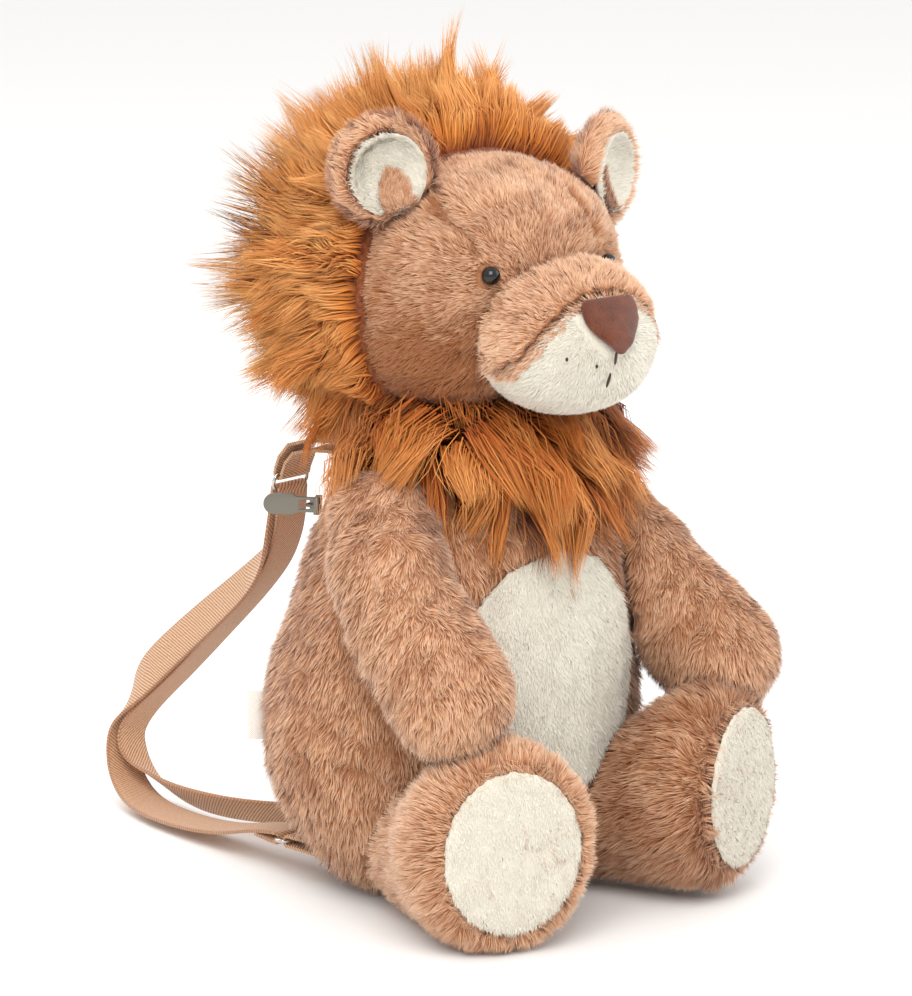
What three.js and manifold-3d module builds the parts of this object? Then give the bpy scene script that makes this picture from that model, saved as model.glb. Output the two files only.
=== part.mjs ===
// A sitting plush lion that is a small backpack: a hollow padded body with a zip across the upper back,
// stuffed head and limbs, a long pile mane, and webbing shoulder straps.
// Millimetres, +Z up. The lion looks along -Y, and its right side is -X. It sits on the plane z = 0.

import * as THREE from "three";
import { mergeVertices } from "three/addons/utils/BufferGeometryUtils.js";
import Module from "manifold-3d";

// Body: the padded bag from the floor to the neck
const BODY_HEIGHT = 244;
const BODY_WIDTH = 200;
const BODY_DEPTH = 166;
const BODY_SLUMP = 18;
const BODY_WALL = 10;
// Belly patch, an oval panel on the front
const PATCH_WIDTH = 115;
const PATCH_HEIGHT = 124;
const PATCH_SIDE = -4;
const PATCH_CENTRE_UP = 118;
const PANEL_THICK = 2.4;
// Head, seated on the neck
const HEAD_HEIGHT = 120;
const HEAD_WIDTH = 145;
const HEAD_DEPTH = 124;
const HEAD_FORWARD = 20;
// Muzzle, from the face forwards
const MUZZLE_WIDTH = 96;
const MUZZLE_HEIGHT = 75;
const MUZZLE_REACH = 59;
const MUZZLE_UP = 40.5;
const MUZZLE_START = 38;
const CHIN_ARCH_WIDTH = 93;
const CHIN_ARCH_UP = 16;
// Nose, a rounded triangle wrapped on the muzzle
const NOSE_WIDTH = 36;
const NOSE_HEIGHT = 27;
const NOSE_TOP_UP = 62;
const NOSE_THICK = 4.2;
const NOSE_CORNER = 6;
// Eyes
const EYE_DIAMETER = 9.4;
const EYE_RIGHT_OUT = 39.5;
const EYE_LEFT_OUT = 32;
const EYE_RIGHT_UP = 71.5;
const EYE_LEFT_UP = 69.5;
const EYE_STAND = 3.6;
// Ears
const EAR_WIDTH = 56;
const EAR_HEIGHT = 56;
const EAR_THICK = 21;
const EAR_RIM = 6;
const EAR_LINING = 2.4;
const EAR_RIGHT_OUT = 64;
const EAR_LEFT_OUT = 71.5;
const EAR_RIGHT_FORWARD = 23;
const EAR_LEFT_FORWARD = 31;
const EAR_RIGHT_UP = 119;
const EAR_LEFT_UP = 106;
const EAR_TURN = 22;
const EAR_LEAN = 16;
// Arms, from the shoulder to the paw that rests on the foot
const ARM_DIAMETER = 62;
const SHOULDER_SPACING = 104;
const SHOULDER_RIGHT_UP = 204;
const SHOULDER_LEFT_UP = 186;
const ELBOW_RIGHT_OUT = 88;
const ELBOW_RIGHT_UP = 162;
const ELBOW_LEFT_OUT = 80;
const ELBOW_LEFT_UP = 146;
const ELBOW_FORWARD = 60;
const PAW_FORWARD = 98;
const PAW_RIGHT_OUT = 82;
const PAW_RIGHT_UP = 115;
const PAW_LEFT_OUT = 99;
const PAW_LEFT_UP = 109;
// Legs, splayed forwards along the floor
const LEG_LENGTH = 126;
const LEG_WIDTH = 78;
const LEG_HEIGHT = 78;
const FOOT_WIDTH = 97;
const FOOT_HEIGHT = 105;
const LEG_SPLAY = 20;
const LEG_LEFT_RISE = 6;
const SOLE_DROP = 1.5;
const SOLE_SPACING = 151;
const SOLE_FORWARD = 126;
const SOLE_WIDTH = 72;
const SOLE_HEIGHT = 81;
const SOLE_THICK = 3.2;
// Mane: long pile on a thick hood over the back of the head
const MANE_SEAM_FORWARD = 16;
const MANE_WIDTH = 190;
const MANE_DEPTH = 156;
const MANE_HEIGHT = 184;
const MANE_BACK = 18;
const MANE_CENTRE_UP = 63;
const MANE_PILE = 36;
const LOCK_WIDTH = 32;
const MANE_ROWS = 4;
const MANE_AROUND = 13;
const MANE_SWEEP = 90;
// Bib: the long pile collar that hangs on the chest
const BIB_DROP = 1;
const BIB_DEPTH = 30;
const BIB_BACKING = 3.6;
const BIB_LENGTH = 50;
const BIB_LOCK_WIDTH = 19;
const BIB_LOCKS = 11;
const BIB_REAR = 6;
const BIB_SPREAD = 230;
// Zip across the upper back
const ZIP_DROP = 54;
const ZIP_OPENING = 8;
const ZIP_SPREAD = 96;
const TAPE_THICK = 1.2;
const CHAIN_WIDTH = 5;
const CHAIN_THICK = 2.2;
const SLIDER_LENGTH = 9;
const SLIDER_WIDTH = 8.4;
const SLIDER_THICK = 3;
const BOW_WIRE = 1.5;
const BOW_INSIDE = 5.2;
const PULL_LENGTH = 24;
const PULL_WIDTH = 10.4;
const PULL_THICK = 2;
const PULL_BAR = 2;
const PULL_WINDOW = 5.4;
const PULL_SIDE = 2.2;
// Webbing and its metal rings
const WEBBING_WIDTH = 20;
const WEBBING_THICK = 1.6;
const RING_WIRE = 2.4;
const RING_GAP = 6.5;
const RING_SIDE_ROOM = 0.8;
const TAB_TOP_DROP = 38;
const TAB_TOP_LENGTH = 52;
const TAB_RISE = 4;
const TAB_DROP = 13;
const TAB_BOTTOM_UP = 17;
const TAB_BOTTOM_LENGTH = 13;
const TAB_BOTTOM_TURN = 47;
const STRAP_SIDE = -16;
const LOOP_REACH = 128;
const STITCHED_END = 16;
// Side label, a folded ribbon in the seam
const LABEL_LENGTH = 8;
const LABEL_WIDTH = 24;
const LABEL_THICK = 1.4;
const LABEL_UP = 88;
const LABEL_TURN = 58;
// Fits
const SEAM_GAP = 0.35;
const RING_CLEARANCE = 0.5;
const FLOOR_ROOM = 400;
// Heights that hang from the neck
const BIB_TOP = BODY_HEIGHT - BIB_DROP;
const ZIP_UP = BODY_HEIGHT - ZIP_DROP;
const TAB_TOP_UP = BODY_HEIGHT - TAB_TOP_DROP;
// Sides of the round sections, and steps along a bend
const ROUND_SIDES = 24;
const ARM_SIDES = 14;
const LEG_SIDES = 18;
const LOCK_SIDES = 4;
const TAB_STEPS = 8;
const BOW_STEPS = 8;
const TURN_STEPS = 8;

const DEGREE = Math.PI / 180;
const UP = new THREE.Vector3(0, 0, 1);

const wasm = await Module();
wasm.setup();

// Turns a closed geometry into a solid that can be cut and joined.
function solidOf(geometry) {
  const bare = geometry.clone();
  bare.deleteAttribute("normal");
  bare.deleteAttribute("uv");
  const merged = mergeVertices(bare, 1e-4);
  const mesh = new wasm.Mesh({
    numProp: 3,
    vertProperties: new Float32Array(merged.attributes.position.array),
    triVerts: new Uint32Array(merged.index.array),
  });
  return new wasm.Manifold(mesh);
}

// The largest body of a solid: crumbs that a cut leaves are dropped.
function largestOf(solid) {
  return solid.decompose().reduce((best, next) => (next.volume() > best.volume() ? next : best));
}

function geometryOf(solid) {
  const mesh = largestOf(solid).getMesh();
  const points = new Float32Array(mesh.numVert * 3);
  for (let i = 0; i < mesh.numVert; i += 1) {
    const start = i * mesh.numProp;
    points.set(mesh.vertProperties.subarray(start, start + 3), i * 3);
  }
  const geometry = new THREE.BufferGeometry();
  geometry.setAttribute("position", new THREE.BufferAttribute(points, 3));
  geometry.setIndex(new THREE.BufferAttribute(new Uint32Array(mesh.triVerts), 1));
  geometry.computeVertexNormals();
  return geometry;
}

// A closed skin through rings of the same number of points, with a fan over each end.
function loft(rings) {
  const sides = rings[0].length;
  const points = rings.flat();
  const faces = [];
  for (let r = 0; r + 1 < rings.length; r += 1) {
    for (let i = 0; i < sides; i += 1) {
      const a = r * sides + i;
      const b = r * sides + ((i + 1) % sides);
      faces.push(a, b, b + sides, a, b + sides, a + sides);
    }
  }
  const middleOf = (ring) => ring.reduce((sum, p) => sum.add(p), new THREE.Vector3()).divideScalar(sides);
  const first = points.push(middleOf(rings[0])) - 1;
  const last = points.push(middleOf(rings.at(-1))) - 1;
  const top = (rings.length - 1) * sides;
  for (let i = 0; i < sides; i += 1) {
    const j = (i + 1) % sides;
    faces.push(first, j, i, last, top + i, top + j);
  }
  const geometry = new THREE.BufferGeometry().setFromPoints(points);
  geometry.setIndex(faces);
  return geometry;
}

// A loft as a solid that faces outwards, whichever way its rings were listed.
function loftSolid(rings) {
  const made = solidOf(loft(rings));
  return made.volume() > 0 ? made : solidOf(loft(rings.map((ring) => [...ring].reverse())));
}

// An oval ring about a centre, in the plane of two directions. Power 2 is an ellipse, more is squarer.
function oval(centre, across, alongside, halfAcross, halfAlong, sides = ROUND_SIDES, power = 2) {
  return Array.from({ length: sides }, (_, i) => {
    const turn = (2 * Math.PI * (i + 0.5)) / sides;
    const c = Math.cos(turn);
    const s = Math.sin(turn);
    const u = Math.sign(c) * Math.abs(c) ** (2 / power) * halfAcross;
    const v = Math.sign(s) * Math.abs(s) ** (2 / power) * halfAlong;
    return centre.clone().addScaledVector(across, u).addScaledVector(alongside, v);
  });
}

// A box between two corners.
function block(low, high) {
  const size = new THREE.Vector3().subVectors(high, low);
  const middle = new THREE.Vector3().addVectors(low, high).multiplyScalar(0.5);
  return solidOf(new THREE.BoxGeometry(size.x, size.y, size.z).translate(middle.x, middle.y, middle.z));
}

const vec = (x, y, z) => new THREE.Vector3(x, y, z);
const ALONG_X = vec(1, 0, 0);
const ALONG_Y = vec(0, 1, 0);
// The room of the bib's locks, which the mane keeps out of.
function bibRoom(grow) {
  return block(vec(-FLOOR_ROOM, -FLOOR_ROOM, 0), vec(FLOOR_ROOM, -BIB_REAR + grow, BIB_TOP + grow));
}

const BELOW_FLOOR = block(vec(-FLOOR_ROOM, -FLOOR_ROOM, -FLOOR_ROOM), vec(FLOOR_ROOM, FLOOR_ROOM, 0));

// Straight-line reading of a table's column at a share of its key column.
function read(table, key, share, column) {
  const next = table.findIndex((row) => row[key] >= share);
  if (next < 0) {
    return table.at(-1)[column];
  }
  if (next === 0) {
    return table[0][column];
  }
  const low = table[next - 1];
  const high = table[next];
  const part = (share - low[key]) / (high[key] - low[key]);
  return low[column] + (high[column] - low[column]) * part;
}

// Body sections: height, width and depth as shares of the body's own, and the forward lean of the neck
const BODY_SECTIONS = [
  { up: 0, width: 0.44, depth: 0.48, lean: -0.1 },
  { up: 0.033, width: 0.59, depth: 0.62, lean: -0.1 },
  { up: 0.078, width: 0.71, depth: 0.735, lean: -0.1 },
  { up: 0.123, width: 0.81, depth: 0.835, lean: -0.05 },
  { up: 0.184, width: 0.925, depth: 0.94, lean: 0 },
  { up: 0.266, width: 0.985, depth: 0.99, lean: 0 },
  { up: 0.373, width: 1, depth: 1, lean: 0 },
  { up: 0.484, width: 0.97, depth: 0.975, lean: 0.16 },
  { up: 0.586, width: 0.91, depth: 0.92, lean: 0.38 },
  { up: 0.697, width: 0.83, depth: 0.845, lean: 0.56 },
  { up: 0.807, width: 0.74, depth: 0.76, lean: 0.72 },
  { up: 0.881, width: 0.61, depth: 0.65, lean: 0.83 },
  { up: 0.939, width: 0.48, depth: 0.53, lean: 0.94 },
  { up: 0.984, width: 0.39, depth: 0.44, lean: 1 },
  { up: 1, width: 0.34, depth: 0.39, lean: 1 },
];

// The centre and half sizes of the body at a height.
function bodyAt(height) {
  const share = height / BODY_HEIGHT;
  return {
    centre: vec(0, -read(BODY_SECTIONS, "up", share, "lean") * BODY_SLUMP, height),
    halfWidth: (read(BODY_SECTIONS, "up", share, "width") * BODY_WIDTH) / 2,
    halfDepth: (read(BODY_SECTIONS, "up", share, "depth") * BODY_DEPTH) / 2,
  };
}

// The body's outer form, grown outwards by a distance, or shrunk by a negative one.
function bodyForm(grow = 0, sides = ROUND_SIDES) {
  const rings = BODY_SECTIONS.map((row, i) => {
    const at = bodyAt(row.up * BODY_HEIGHT);
    if (i === 0) {
      at.centre.z -= grow;
    }
    if (i === BODY_SECTIONS.length - 1) {
      at.centre.z += grow;
    }
    return oval(at.centre, ALONG_X, ALONG_Y, at.halfWidth + grow, at.halfDepth + grow, sides);
  });
  return loftSolid(rings);
}

// A point on the body's side at a height. Turn 0 is straight back, and turns towards the lion's right.
function onBody(height, turn, out = 0) {
  const at = bodyAt(height);
  const x = -Math.sin(turn * DEGREE);
  const y = Math.cos(turn * DEGREE);
  const outward = vec(x / at.halfWidth, y / at.halfDepth, 0).normalize();
  const point = at.centre.clone().add(vec(x * at.halfWidth, y * at.halfDepth, 0));
  return { point: point.addScaledVector(outward, out), outward };
}

// Head sections, as shares of the head's own sizes; forward is how far the section's centre leans
const HEAD_SECTIONS = [
  { up: 0, width: 0.5, depth: 0.49, forward: 0.82 },
  { up: 0.06, width: 0.735, depth: 0.71, forward: 0.91 },
  { up: 0.17, width: 0.89, depth: 0.87, forward: 1 },
  { up: 0.32, width: 0.975, depth: 0.96, forward: 1.04 },
  { up: 0.48, width: 1, depth: 1, forward: 1.04 },
  { up: 0.64, width: 0.975, depth: 0.975, forward: 1.02 },
  { up: 0.78, width: 0.885, depth: 0.89, forward: 1 },
  { up: 0.89, width: 0.7, depth: 0.72, forward: 0.93 },
  { up: 0.96, width: 0.46, depth: 0.49, forward: 0.87 },
  { up: 1, width: 0.17, depth: 0.2, forward: 0.84 },
];
const HEAD_BASE = BODY_HEIGHT + SEAM_GAP;
const HEAD_POWER = 2.15;

function headAt(height) {
  const share = height / HEAD_HEIGHT;
  return {
    centre: vec(0, -read(HEAD_SECTIONS, "up", share, "forward") * HEAD_FORWARD, HEAD_BASE + height),
    halfWidth: (read(HEAD_SECTIONS, "up", share, "width") * HEAD_WIDTH) / 2,
    halfDepth: (read(HEAD_SECTIONS, "up", share, "depth") * HEAD_DEPTH) / 2,
  };
}

function headForm(grow = 0) {
  const rings = HEAD_SECTIONS.map((row, i) => {
    const at = headAt(row.up * HEAD_HEIGHT);
    if (i === 0) {
      at.centre.z -= grow;
    }
    if (i === HEAD_SECTIONS.length - 1) {
      at.centre.z += grow;
    }
    const half = { x: at.halfWidth + grow, y: at.halfDepth + grow };
    return oval(at.centre, ALONG_X, ALONG_Y, half.x, half.y, ROUND_SIDES, HEAD_POWER);
  });
  return loftSolid(rings);
}

// Muzzle sections from inside the face to the tip; drop lowers a section's centre
const MUZZLE_SECTIONS = [
  { out: 0, width: 0.8, height: 0.82, drop: 0 },
  { out: 0.24, width: 0.98, height: 0.98, drop: 0 },
  { out: 0.48, width: 1, height: 1, drop: 0.01 },
  { out: 0.69, width: 0.91, height: 0.9, drop: 0.03 },
  { out: 0.85, width: 0.71, height: 0.71, drop: 0.06 },
  { out: 0.95, width: 0.45, height: 0.46, drop: 0.08 },
  { out: 1, width: 0.16, height: 0.17, drop: 0.09 },
];
const MUZZLE_BACK = -HEAD_FORWARD - MUZZLE_START;
const MUZZLE_MIDDLE = HEAD_BASE + MUZZLE_UP;

function muzzleForm(grow = 0) {
  const rings = MUZZLE_SECTIONS.map((row, i) => {
    const reach = row.out * MUZZLE_REACH + (i === MUZZLE_SECTIONS.length - 1 ? grow : 0);
    const centre = vec(0, MUZZLE_BACK - reach, MUZZLE_MIDDLE - row.drop * MUZZLE_HEIGHT);
    const halfWidth = (row.width * MUZZLE_WIDTH) / 2 + grow;
    const halfHeight = (row.height * MUZZLE_HEIGHT) / 2 + grow;
    return oval(centre, ALONG_X, UP, halfWidth, halfHeight, ROUND_SIDES, 2.2);
  });
  return loftSolid(rings);
}

// A prism of an outline drawn in X and Z, running forwards from the middle of the head.
function frontPrism(shape, length) {
  const geometry = new THREE.ExtrudeGeometry(shape, { depth: length, bevelEnabled: false, curveSegments: 6 });
  return solidOf(geometry.rotateX(Math.PI / 2));
}

// The front of the muzzle below its arched seam, which springs from the nose to each side.
function chinPrism(grow = 0) {
  const radius = CHIN_ARCH_WIDTH / 2 + grow;
  const spring = HEAD_BASE + CHIN_ARCH_UP;
  const shape = new THREE.Shape();
  shape.moveTo(radius, 0);
  shape.lineTo(radius, spring);
  shape.absarc(0, spring, radius, 0, Math.PI);
  shape.lineTo(-radius, 0);
  return frontPrism(shape, HEAD_DEPTH + MUZZLE_REACH);
}

function nosePrism() {
  const top = HEAD_BASE + NOSE_TOP_UP;
  const half = NOSE_WIDTH / 2;
  const foot = half * 0.3;
  const shape = new THREE.Shape();
  shape.moveTo(-half + NOSE_CORNER, top);
  shape.lineTo(half - NOSE_CORNER, top);
  shape.quadraticCurveTo(half, top, half, top - NOSE_CORNER);
  shape.quadraticCurveTo(half, top - NOSE_HEIGHT * 0.62, foot, top - NOSE_HEIGHT * 0.93);
  shape.quadraticCurveTo(0, top - NOSE_HEIGHT * 1.06, -foot, top - NOSE_HEIGHT * 0.93);
  shape.quadraticCurveTo(-half, top - NOSE_HEIGHT * 0.62, -half, top - NOSE_CORNER);
  shape.quadraticCurveTo(-half, top, -half + NOSE_CORNER, top);
  return frontPrism(shape, HEAD_DEPTH + MUZZLE_REACH);
}

// An ellipsoid in its own frame, turned and then moved to its place.
function ellipsoid(radii, turn, place, shift = vec(0, 0, 0), sides = 12, rows = 8) {
  const geometry = new THREE.SphereGeometry(1, sides, rows).rotateX(Math.PI / 2);
  geometry.scale(radii.x, radii.y, radii.z).translate(shift.x, shift.y, shift.z);
  const matrix = new THREE.Matrix4().makeRotationFromEuler(turn).setPosition(place);
  return solidOf(geometry.applyMatrix4(matrix));
}

// An ear is a cup, hollow at the front, and its lining is a thinner cup inside the hollow.
function earForms(side, out, forwards, up) {
  const place = vec(side * out, -forwards, HEAD_BASE + up);
  const turn = new THREE.Euler(0, side * EAR_LEAN * DEGREE, side * EAR_TURN * DEGREE, "ZYX");
  const outer = vec(EAR_WIDTH / 2, EAR_THICK / 2, EAR_HEIGHT / 2);
  const rim = (less) => vec(outer.x - EAR_RIM - less, outer.y, outer.z - EAR_RIM - less);
  const forward = vec(0, -EAR_THICK * 0.42, -EAR_RIM * 0.3);
  const lined = forward.clone().add(vec(0, -EAR_LINING, 0));
  return {
    whole: (grow) => ellipsoid(outer.clone().addScalar(grow), turn, place),
    hollow: ellipsoid(rim(0), turn, place, forward),
    lining: ellipsoid(rim(SEAM_GAP), turn, place, forward.clone().add(vec(0, -SEAM_GAP, 0))),
    dish: ellipsoid(rim(EAR_LINING), turn, place, lined),
  };
}

// Limb tables: share of the length from the root, and thickness as a share of the named one
const ARM_SECTIONS = [
  { along: 0, thick: 0.42 },
  { along: 0.05, thick: 0.66 },
  { along: 0.16, thick: 0.88 },
  { along: 0.35, thick: 0.94 },
  { along: 0.55, thick: 0.94 },
  { along: 0.74, thick: 1 },
  { along: 0.87, thick: 0.97 },
  { along: 0.945, thick: 0.76 },
  { along: 0.983, thick: 0.48 },
  { along: 1, thick: 0.2 },
];

// The right arm hangs closer and higher than the left.
const ARM_RIGHT = {
  side: -1,
  shoulderUp: SHOULDER_RIGHT_UP,
  elbowOut: ELBOW_RIGHT_OUT,
  elbowUp: ELBOW_RIGHT_UP,
  pawOut: PAW_RIGHT_OUT,
  pawUp: PAW_RIGHT_UP,
};
const ARM_LEFT = {
  side: 1,
  shoulderUp: SHOULDER_LEFT_UP,
  elbowOut: ELBOW_LEFT_OUT,
  elbowUp: ELBOW_LEFT_UP,
  pawOut: PAW_LEFT_OUT,
  pawUp: PAW_LEFT_UP,
};

function armForm(arm, grow = 0) {
  const { side, shoulderUp, elbowOut, elbowUp, pawOut, pawUp } = arm;
  const reach = ARM_DIAMETER * 0.22;
  const shoulderOut = SHOULDER_SPACING / 2;
  const upperUp = THREE.MathUtils.lerp(shoulderUp, elbowUp, 0.28);
  const path = new THREE.CatmullRomCurve3([
    vec(side * shoulderOut, -BODY_SLUMP * 0.8, shoulderUp),
    vec(side * (shoulderOut + elbowOut) * 0.54, -ELBOW_FORWARD * 0.6, upperUp),
    vec(side * elbowOut, -ELBOW_FORWARD, elbowUp),
    vec(side * (pawOut + elbowOut) * 0.5, -(ELBOW_FORWARD + PAW_FORWARD) / 2, (elbowUp + pawUp) / 2),
    vec(side * pawOut, -PAW_FORWARD - reach, pawUp - reach),
  ]);
  const rings = ARM_SECTIONS.map((row) => {
    const centre = path.getPointAt(row.along);
    const tangent = path.getTangentAt(row.along);
    const across = new THREE.Vector3().crossVectors(tangent, ALONG_Y).normalize();
    const beside = new THREE.Vector3().crossVectors(tangent, across).normalize();
    const half = (row.thick * ARM_DIAMETER) / 2 + grow;
    return oval(centre, across, beside, half, half, ARM_SIDES);
  });
  return loftSolid(rings);
}

// Leg tables: size is a share of the section's own sizes, foot how far these go from the leg's to the foot's
const LEG_SECTIONS = [
  { along: 0, size: 0.55, foot: 0 },
  { along: 0.06, size: 0.8, foot: 0 },
  { along: 0.17, size: 0.95, foot: 0 },
  { along: 0.38, size: 1, foot: 0 },
  { along: 0.58, size: 1, foot: 0.22 },
  { along: 0.72, size: 1, foot: 0.72 },
  { along: 0.83, size: 1, foot: 1 },
  { along: 0.92, size: 0.97, foot: 1 },
  { along: 0.975, size: 0.885, foot: 1 },
  { along: 1, size: 0.79, foot: 1 },
];

// The way a leg points, and the foot of its sole. The left foot is a little off the floor.
function legFrame(side) {
  const forward = vec(side * Math.sin(LEG_SPLAY * DEGREE), -Math.cos(LEG_SPLAY * DEGREE), 0);
  const across = new THREE.Vector3().crossVectors(forward, UP);
  const rise = side > 0 ? LEG_LEFT_RISE : 0;
  const sole = vec((side * SOLE_SPACING) / 2, -SOLE_FORWARD, rise - SOLE_DROP);
  return { forward, across, sole };
}

function legForm(side, grow = 0) {
  const { forward, across, sole } = legFrame(side);
  const rings = LEG_SECTIONS.map((row, i) => {
    const mix = (leg, foot) => (row.size * (leg + (foot - leg) * row.foot)) / 2;
    const halfWidth = mix(LEG_WIDTH, FOOT_WIDTH);
    const halfHeight = mix(LEG_HEIGHT, FOOT_HEIGHT);
    const middle = sole.z + halfHeight / row.size;
    const back = (1 - row.along) * LEG_LENGTH - (i === LEG_SECTIONS.length - 1 ? grow : 0);
    const centre = sole.clone().addScaledVector(forward, -back).setZ(middle);
    return oval(centre, across, UP, halfWidth + grow, halfHeight + grow, LEG_SIDES);
  });
  return loftSolid(rings).subtract(BELOW_FLOOR);
}

function soleForm(side) {
  const { forward, across, sole } = legFrame(side);
  const rows = [
    { out: 0, size: 1 },
    { out: 0.55, size: 0.99 },
    { out: 0.85, size: 0.93 },
    { out: 1, size: 0.8 },
  ];
  const rings = rows.map((row) => {
    const out = SEAM_GAP + row.out * SOLE_THICK;
    const centre = sole.clone().addScaledVector(forward, out).setZ(sole.z + FOOT_HEIGHT / 2);
    return oval(centre, across, UP, (row.size * SOLE_WIDTH) / 2, (row.size * SOLE_HEIGHT) / 2, LEG_SIDES);
  });
  return loftSolid(rings);
}

// A lock of pile: a tapered horn that starts along one way and bends to another.
const LOCK_SECTIONS = [
  { along: 0, thick: 0.95 },
  { along: 0.5, thick: 0.8 },
  { along: 1, thick: 0.1 },
];

function lock(root, start, finish, length, width) {
  const rings = LOCK_SECTIONS.map((row) => {
    const way = start.clone().lerp(finish, row.along).normalize();
    const centre = root.clone().addScaledVector(start, row.along * length * 0.5);
    centre.addScaledVector(way, row.along * length * 0.5);
    const across = new THREE.Vector3().crossVectors(way, UP);
    if (across.lengthSq() < 0.01) {
      across.copy(ALONG_X);
    }
    across.normalize();
    const beside = new THREE.Vector3().crossVectors(way, across).normalize();
    return oval(centre, across, beside, (row.thick * width) / 2, (row.thick * width) / 2.6, LOCK_SIDES);
  });
  return loftSolid(rings);
}

// A steady waver between -1 and 1 from a whole number, for uneven locks.
const waver = (i, pace) => Math.sin(i * pace * 2.399 + pace);

// The mane is a domed hood behind the face seam, with rows of locks from the seam to the crown of the head.
function maneForm() {
  const behind = block(vec(-FLOOR_ROOM, -MANE_SEAM_FORWARD, 0), vec(FLOOR_ROOM, FLOOR_ROOM, 2 * FLOOR_ROOM));
  const middle = vec(0, MANE_BACK, HEAD_BASE + MANE_CENTRE_UP);
  const radii = vec(MANE_WIDTH / 2, MANE_DEPTH / 2, MANE_HEIGHT / 2);
  let form = ellipsoid(radii, new THREE.Euler(), middle, vec(0, 0, 0), 18, 10);
  for (let row = 0; row < MANE_ROWS; row += 1) {
    const back = (row / (MANE_ROWS - 0.5)) * MANE_SWEEP;
    const ring = Math.cos(back * DEGREE);
    const count = Math.round(MANE_AROUND * ring);
    for (let i = 0; i < count; i += 1) {
      const around = (((i + (row % 2) / 2) / count) * 360 + waver(i + row * 7, 1.3) * 5) * DEGREE;
      const way = vec(Math.sin(around) * ring, Math.sin(back * DEGREE) - 0.12, Math.cos(around) * ring);
      const root = middle.clone().add(way.clone().multiply(radii).multiplyScalar(0.8));
      const length = MANE_PILE * (1 + 0.14 * waver(i * 3 + row, 0.9));
      const bend = vec(0, 0.3, -0.25 + 0.25 * waver(i + row, 1.7));
      const finish = way.clone().add(bend).normalize();
      form = form.add(lock(root, way.normalize(), finish, length, LOCK_WIDTH));
    }
  }
  return form.intersect(behind).subtract(headForm(SEAM_GAP)).subtract(bibRoom(SEAM_GAP));
}

// The room between two heights, behind a plane across the body.
function bodyBand(low, high, behind) {
  return block(vec(-FLOOR_ROOM, behind, low), vec(FLOOR_ROOM, FLOOR_ROOM, high));
}

// The bib is a collar round the neck, with locks that hang over the chest.
function bibForm() {
  const band = bodyBand(BIB_TOP - BIB_DEPTH, BIB_TOP, -FLOOR_ROOM);
  let form = bodyForm(BIB_BACKING).intersect(band);
  for (let i = 0; i < BIB_LOCKS; i += 1) {
    const share = i / (BIB_LOCKS - 1) - 0.5;
    const turn = 180 + share * BIB_SPREAD;
    const from = onBody(BIB_TOP - BIB_DEPTH * (0.5 + 0.2 * (i % 2)), turn, BIB_BACKING * 0.6);
    const length = BIB_LENGTH * (1 + 0.14 * waver(i, 1.1)) * (1 - 0.9 * share * share);
    const slope = bodyAt(BIB_TOP - length).halfDepth - bodyAt(BIB_TOP - BIB_DEPTH / 2).halfDepth;
    const out = slope / length + 0.12;
    const start = from.outward.clone().multiplyScalar(out + 0.5).add(vec(0, 0, -1)).normalize();
    const finish = from.outward.clone().multiplyScalar(out - 0.35).add(vec(0.12 * waver(i, 2.3), 0, -1));
    const hair = lock(from.point, start, finish.normalize(), length, BIB_LOCK_WIDTH);
    form = form.add(hair.intersect(bibRoom(0)));
  }
  return form.subtract(bodyForm(SEAM_GAP));
}

// A layer on the body between two distances out, kept to a height band behind a plane.
function bodyLayer(inner, outer, low, high, behind) {
  return bodyForm(outer).subtract(bodyForm(inner)).intersect(bodyBand(low, high, behind));
}

// Flat webbing through stations, each with a place and the way its width runs.
function webbing(stations) {
  const rings = stations.map(({ place, width }, i) => {
    const before = stations[Math.max(i - 1, 0)].place;
    const after = stations[Math.min(i + 1, stations.length - 1)].place;
    const tangent = new THREE.Vector3().subVectors(after, before).normalize();
    const across = width.clone().addScaledVector(tangent, -width.dot(tangent)).normalize();
    const out = new THREE.Vector3().crossVectors(tangent, across).multiplyScalar(WEBBING_THICK / 2);
    const half = across.multiplyScalar(WEBBING_WIDTH / 2);
    return [
      place.clone().add(half).add(out),
      place.clone().add(half).sub(out),
      place.clone().sub(half).sub(out),
      place.clone().sub(half).add(out),
    ];
  });
  return loftSolid(rings);
}

// The turn of webbing round a ring's bar: it comes in on one side and leaves on the other.
const TURN_RADIUS = RING_WIRE / 2 + RING_CLEARANCE + WEBBING_THICK / 2;

function turnAbout(bar, away, outside, width) {
  const stations = [];
  for (let i = 0; i <= TURN_STEPS; i += 1) {
    const angle = (i / TURN_STEPS) * Math.PI;
    const place = bar.clone().addScaledVector(outside, Math.cos(angle) * TURN_RADIUS);
    place.addScaledVector(away, -Math.sin(angle) * TURN_RADIUS);
    stations.push({ place, width });
  }
  return stations;
}

// A rounded rectangular wire ring, wide enough for the webbing.
function ringForm(centre, across, along) {
  const halfAcross = WEBBING_WIDTH / 2 + RING_SIDE_ROOM + RING_WIRE / 2;
  const halfAlong = (RING_GAP + RING_WIRE) / 2;
  const corner = RING_WIRE * 0.9;
  const spots = [];
  for (const [u, v] of [[1, 1], [-1, 1], [-1, -1], [1, -1]]) {
    const first = u * v > 0 ? [0, corner] : [corner, 0];
    const second = u * v > 0 ? [corner, 0] : [0, corner];
    for (const [cutU, cutV] of [first, second]) {
      const spot = centre.clone().addScaledVector(across, u * (halfAcross - cutU));
      spots.push(spot.addScaledVector(along, v * (halfAlong - cutV)));
    }
  }
  const path = new THREE.CatmullRomCurve3(spots, true, "catmullrom", 0.12);
  return solidOf(new THREE.TubeGeometry(path, 16, RING_WIRE / 2, 5, true));
}

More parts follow.
